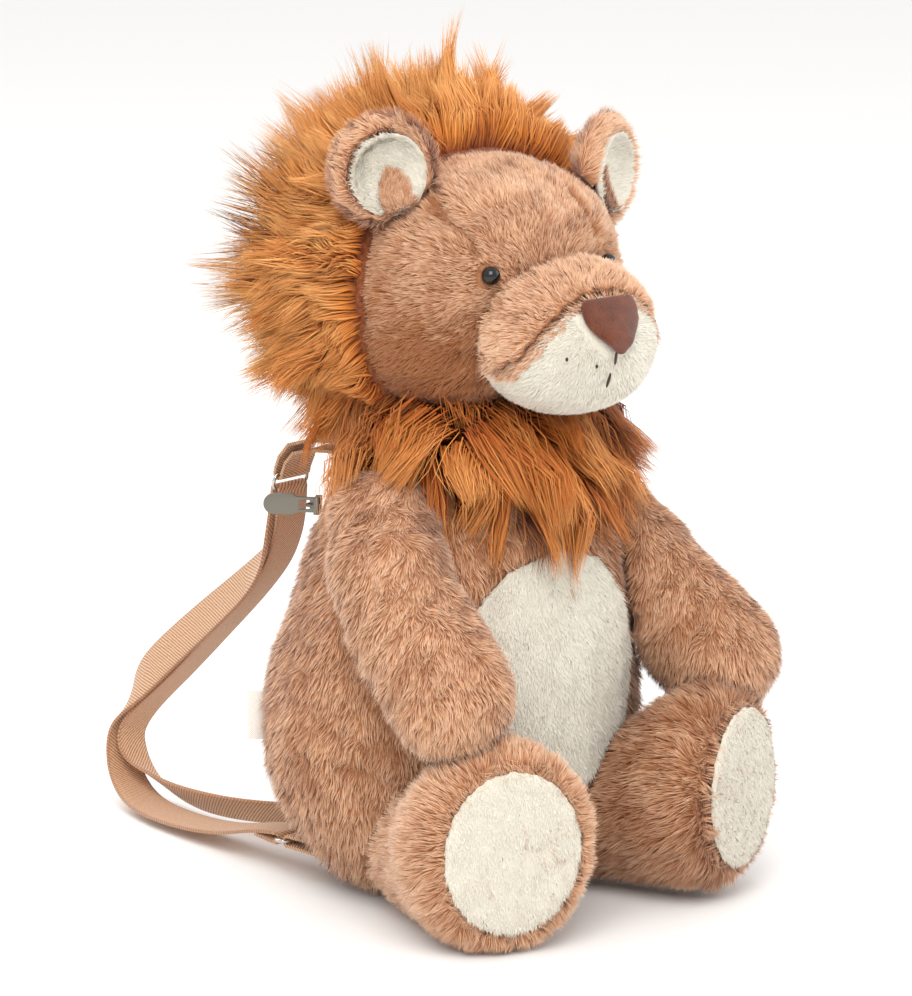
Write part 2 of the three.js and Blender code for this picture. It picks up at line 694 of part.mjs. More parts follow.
// The top tab leaves the upper back, bends over and hangs the top ring.
// The strap turns round the ring's lower bar.
const TOP_ROOT = onBody(TAB_TOP_UP, 4, SEAM_GAP).point;
const TOP_ACROSS = vec(1, 0.1, 0).normalize();
const TOP_BAR = TOP_ROOT.clone().add(vec(STRAP_SIDE, TAB_TOP_LENGTH, -TAB_DROP));
const HANG_WAY = vec(0, 0.25, -0.97).normalize();
const TOP_RING = TOP_BAR.clone().addScaledVector(HANG_WAY, (RING_GAP + RING_WIRE) / 2);
const STRAP_BAR = TOP_BAR.clone().addScaledVector(HANG_WAY, RING_GAP + RING_WIRE);
const STRAP_WAY = vec(0, 0.5, -0.86).normalize();

function topTab() {
  const path = new THREE.CatmullRomCurve3([
    TOP_ROOT.clone().add(vec(0, -WEBBING_WIDTH / 2, 0)),
    TOP_ROOT,
    TOP_ROOT.clone().add(vec(STRAP_SIDE * 0.5, TAB_TOP_LENGTH * 0.5, TAB_RISE)),
    TOP_BAR.clone().add(vec(0, -TAB_DROP * 0.6, TAB_DROP)),
    TOP_BAR.clone().addScaledVector(HANG_WAY, -RING_WIRE),
  ]);
  const layer = (sign) =>
    Array.from({ length: TAB_STEPS + 1 }, (_, i) => {
      const tangent = path.getTangent(i / TAB_STEPS);
      const outside = new THREE.Vector3().crossVectors(TOP_ACROSS, tangent).normalize();
      return { place: path.getPoint(i / TAB_STEPS).addScaledVector(outside, sign * TURN_RADIUS), width: TOP_ACROSS };
    });
  const outside = new THREE.Vector3().crossVectors(TOP_ACROSS, HANG_WAY).normalize();
  const turned = turnAbout(TOP_BAR, HANG_WAY.clone().negate(), outside, TOP_ACROSS);
  return webbing([...layer(1), ...turned, ...layer(-1).reverse()]);
}

// The bottom tabs leave the rear corners of the body straight back, low down, with their width level.
function bottomAnchor(side) {
  const root = onBody(TAB_BOTTOM_UP, -side * TAB_BOTTOM_TURN, SEAM_GAP).point;
  const bar = root.clone().addScaledVector(ALONG_Y, TAB_BOTTOM_LENGTH);
  const ring = bar.clone().addScaledVector(ALONG_Y, (RING_GAP + RING_WIRE) / 2);
  const strapBar = bar.clone().addScaledVector(ALONG_Y, RING_GAP + RING_WIRE);
  return { root, bar, ring, strapBar };
}

function bottomTab(side) {
  const { root, bar } = bottomAnchor(side);
  const deep = vec(0, -WEBBING_WIDTH * 0.7, 0);
  const away = ALONG_Y.clone().negate();
  return webbing([
    { place: root.clone().addScaledVector(UP, TURN_RADIUS).add(deep), width: ALONG_X },
    ...turnAbout(bar, away, UP, ALONG_X),
    { place: root.clone().addScaledVector(UP, -TURN_RADIUS).add(deep), width: ALONG_X },
  ]);
}

// Strap routes from the top bar to a bottom ring. Back is a share of the reach behind the top bar,
// side a share of the way from the top bar's side to the ring's, up a share of the way from the ring's
// height to the top bar's, and tilt in degrees.
const OUTER_ROUTE = [
  { back: 0.05, side: 0.03, up: 0.889, tilt: 25 },
  { back: 0.15, side: 0.1, up: 0.745, tilt: 62 },
  { back: 0.52, side: 0.16, up: 0.515, tilt: 75 },
  { back: 0.85, side: 0.2, up: 0.306, tilt: 80 },
  { back: 0.99, side: 0.2, up: 0.162, tilt: 40 },
  { back: 0.97, side: 0.28, up: 0.02, tilt: 8 },
  { back: 0.82, side: 0.5, up: -0.053, tilt: 6 },
  { back: 0.55, side: 0.8, up: -0.067, tilt: 4 },
  { back: 0.15, side: 0.96, up: -0.047, tilt: 2 },
];
const INNER_ROUTE = [
  { back: 0.02, side: 0.04, up: 0.879, tilt: 0 },
  { back: 0.15, side: 0.1, up: 0.73, tilt: 0 },
  { back: 0.5, side: 0.12, up: 0.487, tilt: 0 },
  { back: 0.8, side: 0.11, up: 0.284, tilt: 0 },
  { back: 0.96, side: -0.06, up: 0.129, tilt: -6 },
  { back: 0.925, side: -0.06, up: 0.035, tilt: -20 },
  { back: 0.78, side: -0.06, up: -0.02, tilt: -38 },
  { back: 0.48, side: -0.08, up: -0.04, tilt: -47 },
  { back: 0.14, side: 0.1, up: -0.036, tilt: -42 },
  { back: -0.08, side: 0.48, up: -0.023, tilt: -22 },
  { back: -0.13, side: 0.82, up: -0.012, tilt: -6 },
];
const RUN_STEPS = 22;

// One run of the strap, from the top turn to the stitched turn round a bottom ring.
function strapRun(side, route) {
  const { strapBar } = bottomAnchor(side);
  const sideways = strapBar.x - STRAP_BAR.x;
  const sewn = strapBar.clone().addScaledVector(ALONG_Y, STITCHED_END).addScaledVector(UP, TURN_RADIUS * 0.4);
  const places = route.map((row) => {
    const height = THREE.MathUtils.lerp(strapBar.z, STRAP_BAR.z, row.up);
    return vec(STRAP_BAR.x + row.side * sideways, STRAP_BAR.y + row.back * LOOP_REACH, height);
  });
  const path = new THREE.CatmullRomCurve3([...places, sewn]);
  const stations = Array.from({ length: RUN_STEPS + 1 }, (_, i) => {
    const at = (i / RUN_STEPS) * route.length;
    const low = Math.min(Math.floor(at), route.length - 1);
    const next = low + 1 < route.length ? route[low + 1].tilt : 0;
    const tilt = THREE.MathUtils.lerp(route[low].tilt, next, at - low) * DEGREE;
    const width = TOP_ACROSS.clone().multiplyScalar(Math.cos(tilt)).addScaledVector(UP, Math.sin(tilt));
    return { place: path.getPoint(i / RUN_STEPS), width };
  });
  const tail = sewn.clone().addScaledVector(UP, -WEBBING_THICK - SEAM_GAP);
  return [...stations, ...turnAbout(strapBar, ALONG_Y, UP, ALONG_X), { place: tail, width: ALONG_X }];
}

function shoulderStrap() {
  const outside = new THREE.Vector3().crossVectors(TOP_ACROSS, STRAP_WAY).normalize();
  const right = strapRun(-1, OUTER_ROUTE).reverse();
  const left = strapRun(1, INNER_ROUTE);
  return webbing([...right, ...turnAbout(STRAP_BAR, STRAP_WAY, outside, TOP_ACROSS), ...left]);
}

// Zip pull and slider in the slider's frame: X points out of the body, Y runs along the zip, Z is up.
const BOW_RADIUS = (BOW_INSIDE + BOW_WIRE) / 2;

function sliderForm() {
  const half = vec(SLIDER_THICK, SLIDER_LENGTH, SLIDER_WIDTH).multiplyScalar(0.5);
  const plate = block(vec(-2 * half.x, -half.y, -half.z), vec(0, half.y, half.z));
  const arc = Array.from({ length: BOW_STEPS + 1 }, (_, i) => {
    const angle = (i / BOW_STEPS) * Math.PI;
    return vec(0.6 + Math.sin(angle) * BOW_RADIUS, -Math.cos(angle) * BOW_RADIUS, 0);
  });
  arc.unshift(vec(-1, -BOW_RADIUS, 0));
  arc.push(vec(-1, BOW_RADIUS, 0));
  const section = new THREE.Shape().absarc(0, 0, BOW_WIRE / 2, 0, 2 * Math.PI);
  const path = new THREE.CatmullRomCurve3(arc);
  const bow = new THREE.ExtrudeGeometry(section, { extrudePath: path, steps: 14, curveSegments: 4 });
  return plate.add(solidOf(bow));
}

function pullForm() {
  const low = -PULL_BAR / 2;
  const round = PULL_WIDTH / 2;
  const shape = new THREE.Shape();
  shape.moveTo(low, -round * 0.72);
  shape.lineTo(PULL_WINDOW + PULL_BAR, -round * 0.72);
  shape.lineTo(PULL_WINDOW + PULL_BAR + 2, -round);
  shape.lineTo(PULL_LENGTH - round, -round);
  shape.absarc(PULL_LENGTH - round, 0, round, -Math.PI / 2, Math.PI / 2);
  shape.lineTo(PULL_WINDOW + PULL_BAR + 2, round);
  shape.lineTo(PULL_WINDOW + PULL_BAR, round * 0.72);
  shape.lineTo(low, round * 0.72);
  const window = new THREE.Path();
  const side = round * 0.72 - PULL_SIDE * 0.6;
  window.moveTo(-low, -side);
  window.lineTo(-low, side);
  window.lineTo(-low + PULL_WINDOW, side);
  window.lineTo(-low + PULL_WINDOW, -side);
  shape.holes.push(window);
  const settings = { depth: PULL_THICK, bevelEnabled: false, curveSegments: 8 };
  const geometry = new THREE.ExtrudeGeometry(shape, settings);
  geometry.translate(0, 0, -PULL_THICK / 2).rotateX(Math.PI / 2);
  return solidOf(geometry);
}

const armsGrown = armForm(ARM_RIGHT, SEAM_GAP).add(armForm(ARM_LEFT, SEAM_GAP));
const legsGrown = legForm(-1, SEAM_GAP).add(legForm(1, SEAM_GAP));
const bodyGrown = bodyForm(SEAM_GAP);
const headGrown = headForm(SEAM_GAP);
const earRight = earForms(-1, EAR_RIGHT_OUT, EAR_RIGHT_FORWARD, EAR_RIGHT_UP);
const earLeft = earForms(1, EAR_LEFT_OUT, EAR_LEFT_FORWARD, EAR_LEFT_UP);
const earsGrown = earRight.whole(SEAM_GAP).add(earLeft.whole(SEAM_GAP));
const muzzleGrown = muzzleForm(SEAM_GAP);
const TAPE_IN = CHAIN_THICK + SEAM_GAP;

function torso() {
  const low = ZIP_UP - ZIP_OPENING / 2;
  const slot = bodyLayer(-2 * BODY_WALL, BODY_WALL, low, low + ZIP_OPENING, zipFront());
  return bodyForm().subtract(bodyForm(-BODY_WALL, ROUND_SIDES / 2)).subtract(slot);
}

// The plane that the zip lies behind, where its slider stops at each end.
function zipFront() {
  return onBody(ZIP_UP, ZIP_SPREAD / 2).point.y;
}

function zipTape() {
  const low = ZIP_UP - ZIP_OPENING / 2 + SEAM_GAP;
  const high = ZIP_UP + ZIP_OPENING / 2 - SEAM_GAP;
  return bodyLayer(-TAPE_IN - TAPE_THICK, -TAPE_IN, low, high, zipFront() + SEAM_GAP);
}

function zipChain() {
  const low = ZIP_UP - CHAIN_WIDTH / 2;
  return bodyLayer(-CHAIN_THICK, 0, low, low + CHAIN_WIDTH, zipFront() + SEAM_GAP);
}

function bellyPatch() {
  const shape = new THREE.Shape();
  shape.absellipse(PATCH_SIDE, PATCH_CENTRE_UP, PATCH_WIDTH / 2, PATCH_HEIGHT / 2, 0, 2 * Math.PI);
  const panel = bodyForm(PANEL_THICK).intersect(frontPrism(shape, BODY_DEPTH));
  return panel.subtract(bodyGrown).subtract(legsGrown).subtract(armsGrown);
}

function eye(side, out, up) {
  const at = headAt(up);
  const face = at.halfDepth * (1 - (out / at.halfWidth) ** HEAD_POWER) ** (1 / HEAD_POWER);
  const spot = vec(side * out, at.centre.y - face + EYE_DIAMETER / 2 - EYE_STAND, HEAD_BASE + up);
  const bead = ellipsoid(vec(1, 1, 1).multiplyScalar(EYE_DIAMETER / 2), new THREE.Euler(), spot);
  return bead.subtract(headGrown).subtract(muzzleGrown);
}

function sideLabel() {
  const { point, outward } = onBody(LABEL_UP, LABEL_TURN, -2);
  const tag = new THREE.BoxGeometry(LABEL_LENGTH + 2, LABEL_THICK, LABEL_WIDTH);
  tag.translate(LABEL_LENGTH / 2 + 1, 0, 0).rotateZ(Math.atan2(outward.y, outward.x));
  return solidOf(tag.translate(point.x, point.y, point.z)).subtract(bodyGrown);
}

// Materials by the finish that each piece has
function coat(color, roughness, metalness = 0) {
  return new THREE.MeshStandardMaterial({ color, roughness, metalness });
}
const PLUSH = coat(0xb58a68, 0.95);
const IVORY = coat(0xefe9dc, 0.95);
const PILE = coat(0xc9823a, 0.85);
const VELOUR = coat(0x8a4b3a, 0.9);
const BEAD = coat(0x0c0c0d, 0.12);
const WEBBING = coat(0xb98e68, 0.85);
const STEEL = coat(0xb9bab8, 0.3, 1);
const TAPE = coat(0x8e6a4c, 0.9);
const RIBBON = coat(0xf2f1ee, 0.8);

const lion = new THREE.Group();
lion.name = "lion_backpack";

function place(name, solid, material, parent = lion) {
  const mesh = new THREE.Mesh(geometryOf(solid), material);
  mesh.name = name;
  parent.add(mesh);
  return mesh;
}

place("torso", torso(), PLUSH);
place("belly_patch", bellyPatch(), IVORY);
place("head", headForm(), PLUSH);
place("muzzle_top", muzzleForm().subtract(chinPrism(SEAM_GAP)).subtract(headGrown), PLUSH);
place("muzzle_chin", muzzleForm().intersect(chinPrism()).subtract(headGrown).subtract(bodyGrown), IVORY);
place("nose", muzzleForm(NOSE_THICK).intersect(nosePrism()).subtract(muzzleGrown), VELOUR);
place("eye_right", eye(-1, EYE_RIGHT_OUT, EYE_RIGHT_UP), BEAD);
place("eye_left", eye(1, EYE_LEFT_OUT, EYE_LEFT_UP), BEAD);

const earPairs = [
  ["right", earRight],
  ["left", earLeft],
];
for (const [name, ear] of earPairs) {
  place("ear_" + name, ear.whole(0).subtract(ear.hollow).subtract(headGrown), PLUSH);
  const lining = ear.whole(0).intersect(ear.lining).subtract(ear.dish).subtract(headGrown);
  place("ear_lining_" + name, lining, IVORY);
}

const limbs = [
  ["right", ARM_RIGHT],
  ["left", ARM_LEFT],
];
for (const [name, arm] of limbs) {
  place("arm_" + name, armForm(arm).subtract(bodyGrown).subtract(legsGrown).subtract(headGrown), PLUSH);
  place("leg_" + name, legForm(arm.side).subtract(bodyGrown), PLUSH);
  place("sole_" + name, soleForm(arm.side), IVORY);
}

const tab = topTab();
const tabGrown = tab.add(tab.translate([0, 0, RING_CLEARANCE])).add(tab.translate([0, 0, 2 * SEAM_GAP]));
const maneCut = earsGrown.add(bodyForm(BIB_BACKING + SEAM_GAP)).add(armsGrown).add(tabGrown);
place("mane", maneForm().subtract(maneCut), PILE);
place("mane_bib", bibForm().subtract(armsGrown).subtract(headGrown).subtract(muzzleGrown), PILE);

place("zip_tape", zipTape(), TAPE);
place("zip_chain", zipChain(), TAPE);
const flare = bodyAt(ZIP_UP - SLIDER_WIDTH / 2).halfWidth - bodyAt(ZIP_UP).halfWidth;
const stop = onBody(ZIP_UP, ZIP_SPREAD / 2 - 4, SLIDER_THICK + SEAM_GAP + flare);
const sliderGroup = new THREE.Group();
sliderGroup.position.copy(stop.point);
sliderGroup.rotation.z = Math.atan2(stop.outward.y, stop.outward.x);
lion.add(sliderGroup);
place("zip_slider", sliderForm(), STEEL, sliderGroup);
const pull = place("zip_pull", pullForm(), STEEL, sliderGroup);
pull.position.x = BOW_RADIUS * 0.42;

place("top_tab", tab.subtract(bodyGrown), WEBBING);
place("top_ring", ringForm(TOP_RING, TOP_ACROSS, HANG_WAY), STEEL);
place("shoulder_strap", shoulderStrap(), WEBBING);
for (const [name, side] of [["right", -1], ["left", 1]]) {
  const anchor = bottomAnchor(side);
  place("bottom_tab_" + name, bottomTab(side).subtract(bodyGrown), WEBBING);
  place("bottom_ring_" + name, ringForm(anchor.ring, ALONG_X, ALONG_Y), STEEL);
}
place("side_label", sideLabel(), RIBBON);

// The origin is under the middle of the whole object
lion.updateMatrixWorld(true);
const extent = new THREE.Box3().setFromObject(lion, true);
for (const child of lion.children) {
  child.position.x -= (extent.min.x + extent.max.x) / 2;
  child.position.y -= (extent.min.y + extent.max.y) / 2;
  child.position.z -= extent.min.z;
}

export default lion;
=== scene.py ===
"""A sitting plush lion backpack: pile, velour, webbing, thread and metal dressed on the part's own solids."""

import itertools
import logging
import math
from collections.abc import Callable, Sequence
from dataclasses import dataclass, field
from enum import Enum

import bmesh
import bpy
import numpy as np
from mathutils import Matrix, Vector
from mathutils.bvhtree import BVHTree
from mathutils.kdtree import KDTree

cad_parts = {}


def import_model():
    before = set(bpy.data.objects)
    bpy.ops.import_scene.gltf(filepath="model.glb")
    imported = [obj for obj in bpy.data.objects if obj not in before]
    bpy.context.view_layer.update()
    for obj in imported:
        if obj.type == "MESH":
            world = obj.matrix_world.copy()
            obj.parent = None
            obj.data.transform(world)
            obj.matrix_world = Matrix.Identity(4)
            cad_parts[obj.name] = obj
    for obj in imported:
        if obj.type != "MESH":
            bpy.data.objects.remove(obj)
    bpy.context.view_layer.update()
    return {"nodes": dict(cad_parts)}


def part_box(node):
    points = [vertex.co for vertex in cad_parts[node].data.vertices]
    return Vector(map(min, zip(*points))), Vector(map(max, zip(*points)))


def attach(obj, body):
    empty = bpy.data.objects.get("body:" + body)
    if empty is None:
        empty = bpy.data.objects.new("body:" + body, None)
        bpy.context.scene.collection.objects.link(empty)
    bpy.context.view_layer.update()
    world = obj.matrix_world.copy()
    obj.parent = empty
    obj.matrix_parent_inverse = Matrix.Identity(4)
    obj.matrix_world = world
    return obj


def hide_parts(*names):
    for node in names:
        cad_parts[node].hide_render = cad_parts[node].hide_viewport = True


LOG = logging.getLogger("lion_backpack")
MM = 0.001
BAG = "bag"
PULL = "zip_pull"
# A field over the surface: places and normals in, one row or one number a place out
Field = Callable[[np.ndarray, np.ndarray], np.ndarray]
# How close a root may come to a neighbouring solid, and to an eye
SEAM_ROOM = 1.4 * MM
EYE_ROOM = 2.2 * MM
FLOOR_ROOM = 0.25 * MM


def linear(code: str, alpha: float = 1.0) -> tuple[float, float, float, float]:
    """Turns an sRGB hex value to linear light.

    Args:
        code: Six hex digits, with or without a leading sign.
        alpha: The fourth value.

    Returns:
        Red, green, blue and alpha.
    """
    digits = code.lstrip("#")
    parts = [int(digits[i : i + 2], 16) / 255 for i in (0, 2, 4)]
    red, green, blue = (p / 12.92 if p <= 0.04045 else ((p + 0.055) / 1.055) ** 2.4 for p in parts)
    return red, green, blue, alpha


def add_node(tree: bpy.types.NodeTree, kind: str, inputs: dict | None = None, **settings) -> bpy.types.Node:
    """Adds a shader node with its settings, values and links.

    Args:
        tree: The material's node tree.
        kind: The node's Blender type name.
        inputs: Input name or index to a value, or to an output socket that is linked to it.
        settings: Attributes set on the node before its inputs.

    Returns:
        The new node.
    """
    node = tree.nodes.new(kind)
    for name, value in settings.items():
        setattr(node, name, value)
    for name, value in (inputs or {}).items():
        if isinstance(value, bpy.types.NodeSocket):
            tree.links.new(value, node.inputs[name])
        else:
            node.inputs[name].default_value = value
    return node


def ramp(tree: bpy.types.NodeTree, factor: bpy.types.NodeSocket, stops: Sequence[tuple[float, str]]) -> bpy.types.NodeSocket:
    """A colour ramp over a factor.

    Args:
        tree: The material's node tree.
        factor: The socket that drives the ramp.
        stops: Place and hex colour of each stop, at least two.

    Returns:
        The ramp's colour socket.
    """
    node = add_node(tree, "ShaderNodeValToRGB", {"Fac": factor})
    elements = node.color_ramp.elements
    while len(elements) < len(stops):
        elements.new(0.5)
    for element, (place, code) in zip(elements, stops):
        element.position = place
        element.color = linear(code)
    return node.outputs["Color"]


def blank_material(name: str) -> tuple[bpy.types.Material, bpy.types.NodeTree, bpy.types.Node]:
    """A material with an empty tree and an output node.

    Args:
        name: The material's name.

    Returns:
        The material, its tree and the output node.
    """
    material = bpy.data.materials.new(name)
    material.use_nodes = True
    tree = material.node_tree
    tree.nodes.clear()
    return material, tree, tree.nodes.new("ShaderNodeOutputMaterial")


def mix_colors(tree: bpy.types.NodeTree, factor, first, second) -> bpy.types.NodeSocket:
    """Mixes two colours by a factor, each a socket or a value, and returns the result's socket."""
    node = add_node(tree, "ShaderNodeMix", {0: factor, 6: first, 7: second}, data_type="RGBA")
    return node.outputs[2]


@dataclass(frozen=True)
class Finish:
    """A surface finish that makes its own material."""

    name: str

    def material(self) -> bpy.types.Material:
        """Returns the finish's material, made on first use."""
        return bpy.data.materials.get(self.name) or self.make()

    def make(self) -> bpy.types.Material:
        """Makes the material."""
        raise NotImplementedError


@dataclass(frozen=True)
class StrandFinish(Finish):
    """Fibres of a pile. Their own map holds a shade across and the way from root to tip along."""

    deep: tuple[str, str, str]
    pale: tuple[str, str, str]
    middle: float = 0.45
    roughness: float = 0.7
    sheen: float = 0.2
    specular: float = 0.2

    def make(self) -> bpy.types.Material:
        """Polyester fibre: soft broad gloss, darker at the root and lighter at the tip, partly the fibre's own
        colour and partly painted shade deep in the pile and painted light on the tips.
        """
        material, tree, out = blank_material(self.name)
        uv = add_node(tree, "ShaderNodeUVMap", uv_map="OFBake")
        split = add_node(tree, "ShaderNodeSeparateXYZ", {0: uv.outputs["UV"]})
        along = split.outputs["Y"]
        dark = ramp(tree, along, list(zip((0.0, self.middle, 1.0), self.deep)))
        light = ramp(tree, along, list(zip((0.0, self.middle, 1.0), self.pale)))
        color = mix_colors(tree, split.outputs["X"], dark, light)
        shader = add_node(
            tree,
            "ShaderNodeBsdfPrincipled",
            {
                "Base Color": color,
                "Roughness": self.roughness,
                "Specular IOR Level": self.specular,
                "Sheen Weight": self.sheen,
                "Sheen Roughness": 0.5,
            },
        )
        tree.links.new(shader.outputs[0], out.inputs["Surface"])
        return material


@dataclass(frozen=True)
class BackingFinish(Finish):
    """The knitted backing and root layer that shows between the fibres."""

    deep: str
    pale: str
    grain_mm: float = 1.6
    relief: float = 0.6

    def make(self) -> bpy.types.Material:
        """Matte knit under a pile: mottled at the scale of the tufts, with no gloss."""
        material, tree, out = blank_material(self.name)
        coords = add_node(tree, "ShaderNodeTexCoord").outputs["Object"]
        scale = 1 / (self.grain_mm * MM)
        fine = add_node(tree, "ShaderNodeTexNoise", {"Vector": coords, "Scale": scale, "Detail": 3.0})
        wide = add_node(tree, "ShaderNodeTexNoise", {"Vector": coords, "Scale": scale / 12, "Detail": 2.0})
        both = add_node(tree, "ShaderNodeMath", {0: fine.outputs[0], 1: wide.outputs[0]}, operation="ADD")
        half = add_node(tree, "ShaderNodeMath", {0: both.outputs[0], 1: 0.5}, operation="MULTIPLY")
        color = ramp(tree, half.outputs[0], [(0.36, self.deep), (0.64, self.pale)])
        bump = add_node(
            tree, "ShaderNodeBump", {"Height": fine.outputs[0], "Strength": self.relief, "Distance": 1.2 * MM}
        )
        shader = add_node(
            tree,
            "ShaderNodeBsdfPrincipled",
            {
                "Base Color": color,
                "Normal": bump.outputs[0],
                "Roughness": 0.95,
                "Specular IOR Level": 0.1,
                "Sheen Weight": 0.3,
                "Sheen Roughness": 0.6,
            },
        )
        tree.links.new(shader.outputs[0], out.inputs["Surface"])
        return material


@dataclass(frozen=True)
class TwillFinish(Finish):
    """Woven webbing or tape, read from a map in metres: across the band and along it."""

    rib: str
    valley: str
    rib_mm: float = 1.5
    relief: float = 0.7
    edge_mm: float = 0.0

    def make(self) -> bpy.types.Material:
        """Twill: slanting ribs with a soft matte polyester face, darker between yarns, partly the yarn's own colour
        and partly painted shade in the weave's low places, and darker near the band's long edges.
        """
        material, tree, out = blank_material(self.name)
        uv = add_node(tree, "ShaderNodeUVMap", uv_map="OFBake").outputs["UV"]
        slant = add_node(tree, "ShaderNodeMapping", {"Vector": uv, "Rotation": (0, 0, math.radians(52))})
        # A wave texture of scale s repeats every 0.314 / s
        ribs = add_node(
            tree,
            "ShaderNodeTexWave",
            {"Vector": slant.outputs[0], "Scale": 0.314 / (self.rib_mm * MM), "Distortion": 1.2, "Detail": 1.0},
            wave_profile="SIN",
        )
        yarn = add_node(tree, "ShaderNodeTexNoise", {"Vector": uv, "Scale": 1 / (self.rib_mm * MM), "Detail": 2.0})
        height = add_node(
            tree, "ShaderNodeMix", {0: 0.45, 2: ribs.outputs["Fac"], 3: yarn.outputs[0]}, data_type="FLOAT"
        ).outputs[0]
        # Partly painted shade: the colour follows the same height as the bump, darker where the weave is low
        color = ramp(tree, height, [(0.2, self.valley), (0.7, self.rib)])
        # Darker towards the band's long edges
        if self.edge_mm:
            across = add_node(tree, "ShaderNodeSeparateXYZ", {0: uv}).outputs["X"]
            far = add_node(tree, "ShaderNodeMath", {0: across}, operation="ABSOLUTE").outputs[0]
            rim = add_node(
                tree,
                "ShaderNodeMapRange",
                {"Value": far, "From Min": (self.edge_mm - 1.2) * MM, "From Max": self.edge_mm * MM, "To Max": 0.55},
            )
            color = mix_colors(tree, rim.outputs[0], color, linear(self.valley))
        bump = add_node(tree, "ShaderNodeBump", {"Height": height, "Strength": self.relief, "Distance": 0.4 * MM})
        shader = add_node(
            tree,
            "ShaderNodeBsdfPrincipled",
            {
                "Base Color": color,
                "Normal": bump.outputs[0],
                "Roughness": 0.8,
                "Specular IOR Level": 0.25,
                "Sheen Weight": 0.25,
            },
        )
        tree.links.new(shader.outputs[0], out.inputs["Surface"])
        return material


@dataclass(frozen=True)
class HardFinish(Finish):
    """A hard surface: metal, glass bead or moulded part."""

    tone: str
    roughness: float
    metallic: float = 0.0
    coat: float = 0.0
    grain_mm: float = 0.5
    relief: float = 0.05

    def make(self) -> bpy.types.Material:
        """Cast and tumbled metal, or a polished bead: fine handling marks vary its gloss a little."""
        material, tree, out = blank_material(self.name)
        coords = add_node(tree, "ShaderNodeTexCoord").outputs["Object"]
        marks = add_node(
            tree, "ShaderNodeTexNoise", {"Vector": coords, "Scale": 1 / (self.grain_mm * MM), "Detail": 4.0}
        )
        rough = add_node(
            tree,
            "ShaderNodeMapRange",
            {"Value": marks.outputs[0], "To Min": self.roughness * 0.8, "To Max": self.roughness * 1.25},
        )
        bump = add_node(
            tree, "ShaderNodeBump", {"Height": marks.outputs[0], "Strength": self.relief, "Distance": 0.1 * MM}
        )
        shader = add_node(
            tree,
            "ShaderNodeBsdfPrincipled",
            {
                "Base Color": linear(self.tone),
                "Roughness": rough.outputs[0],
                "Metallic": self.metallic,
                "Coat Weight": self.coat,
                "Normal": bump.outputs[0],
            },
        )
        tree.links.new(shader.outputs[0], out.inputs["Surface"])
        return material


# Short tan pile: rosy brown at the root, sandy at the tip; the dark root is partly painted shade, so folds read
# darker
TAN_STRANDS = StrandFinish(
    "tan_plush_fibre", deep=("632f15", "99592f", "be8358"), pale=("a2633a", "dea67c", "f8d8ba"), sheen=0.3
)
TAN_BACKING = BackingFinish("tan_plush_backing", deep="8a5638", pale="b9835c")
# Dense short ivory pile: almost flat in tone, with a little warm painted shade at the root, in its hollows
IVORY_STRANDS = StrandFinish(
    "ivory_plush_fibre", deep=("cdc4b1", "dbd4c4", "e6e0d2"), pale=("dbd4c5", "e8e3d5", "f0ece0"), sheen=0.3
)
IVORY_BACKING = BackingFinish("ivory_plush_backing", deep="cfc6b3", pale="e4decf", grain_mm=1.0)
# Long silky pile: rust at the root, amber along it, straw at the tip
MANE_STRANDS = StrandFinish(
    "long_amber_fibre",
    deep=("521a06", "9c4815", "c47029"),
    pale=("923f12", "e68f3a", "fac27c"),
    middle=0.4,
    roughness=0.55,
    sheen=0.1,
    specular=0.2,
)
MANE_BACKING = BackingFinish("long_pile_backing", deep="5a2410", pale="9a5628", grain_mm=2.5)
NOSE_VELOUR = BackingFinish("brown_velour", deep="4e2312", pale="703820", grain_mm=0.7, relief=0.25)
WEBBING_TWILL = TwillFinish("tan_twill_webbing", rib="dbb08a", valley="94664a")
STRAP_TWILL = TwillFinish("tan_twill_strap", rib="dbb08a", valley="94664a", edge_mm=10.0)
TAPE_TWILL = TwillFinish("brown_zip_tape", rib="9a7152", valley="5f412b", rib_mm=1.0)
RIBBON_WEAVE = TwillFinish("white_satin_ribbon", rib="f6f3ec", valley="d2c9bc", rib_mm=0.9, relief=0.3)
SATIN_NICKEL = HardFinish("satin_nickel", tone="7d786f", roughness=0.36, metallic=1.0)
BRIGHT_NICKEL = HardFinish("bright_nickel", tone="c9c4bd", roughness=0.2, metallic=1.0)
BLACK_BEAD = HardFinish("black_bead", tone="020202", roughness=0.16, coat=0.15)
BROWN_THREAD = HardFinish("brown_thread", tone="3c2419", roughness=0.7)
COIL_NYLON = HardFinish("brown_coil_nylon", tone="6b4930", roughness=0.4)


def show(mesh: bpy.types.Mesh, name: str, finish: Finish, body: str = BAG) -> bpy.types.Object:
    """Puts a mesh in the scene as a piece with one finish, riding on a body.

    Args:
        mesh: The finished mesh, in the row frame.
        name: The piece's name.
        finish: Its finish.
        body: The body that it rides on.

    Returns:
        The piece.
    """
    mesh.name = name
    mesh.materials.clear()
    mesh.materials.append(finish.material())
    piece = bpy.data.objects.new(name, mesh)
    bpy.context.scene.collection.objects.link(piece)
    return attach(piece, body)


def copy_of(*nodes: str) -> bmesh.types.BMesh:
    """The joined meshes of some solids with their loose corners merged.

    Args:
        nodes: Names of the solids.

    Returns:
        A new bmesh, which the caller frees.
    """
    form = bmesh.new()
    for node in nodes:
        form.from_mesh(bpy.data.objects[node].data)
    bmesh.ops.remove_doubles(form, verts=form.verts, dist=0.02 * MM)
    return form


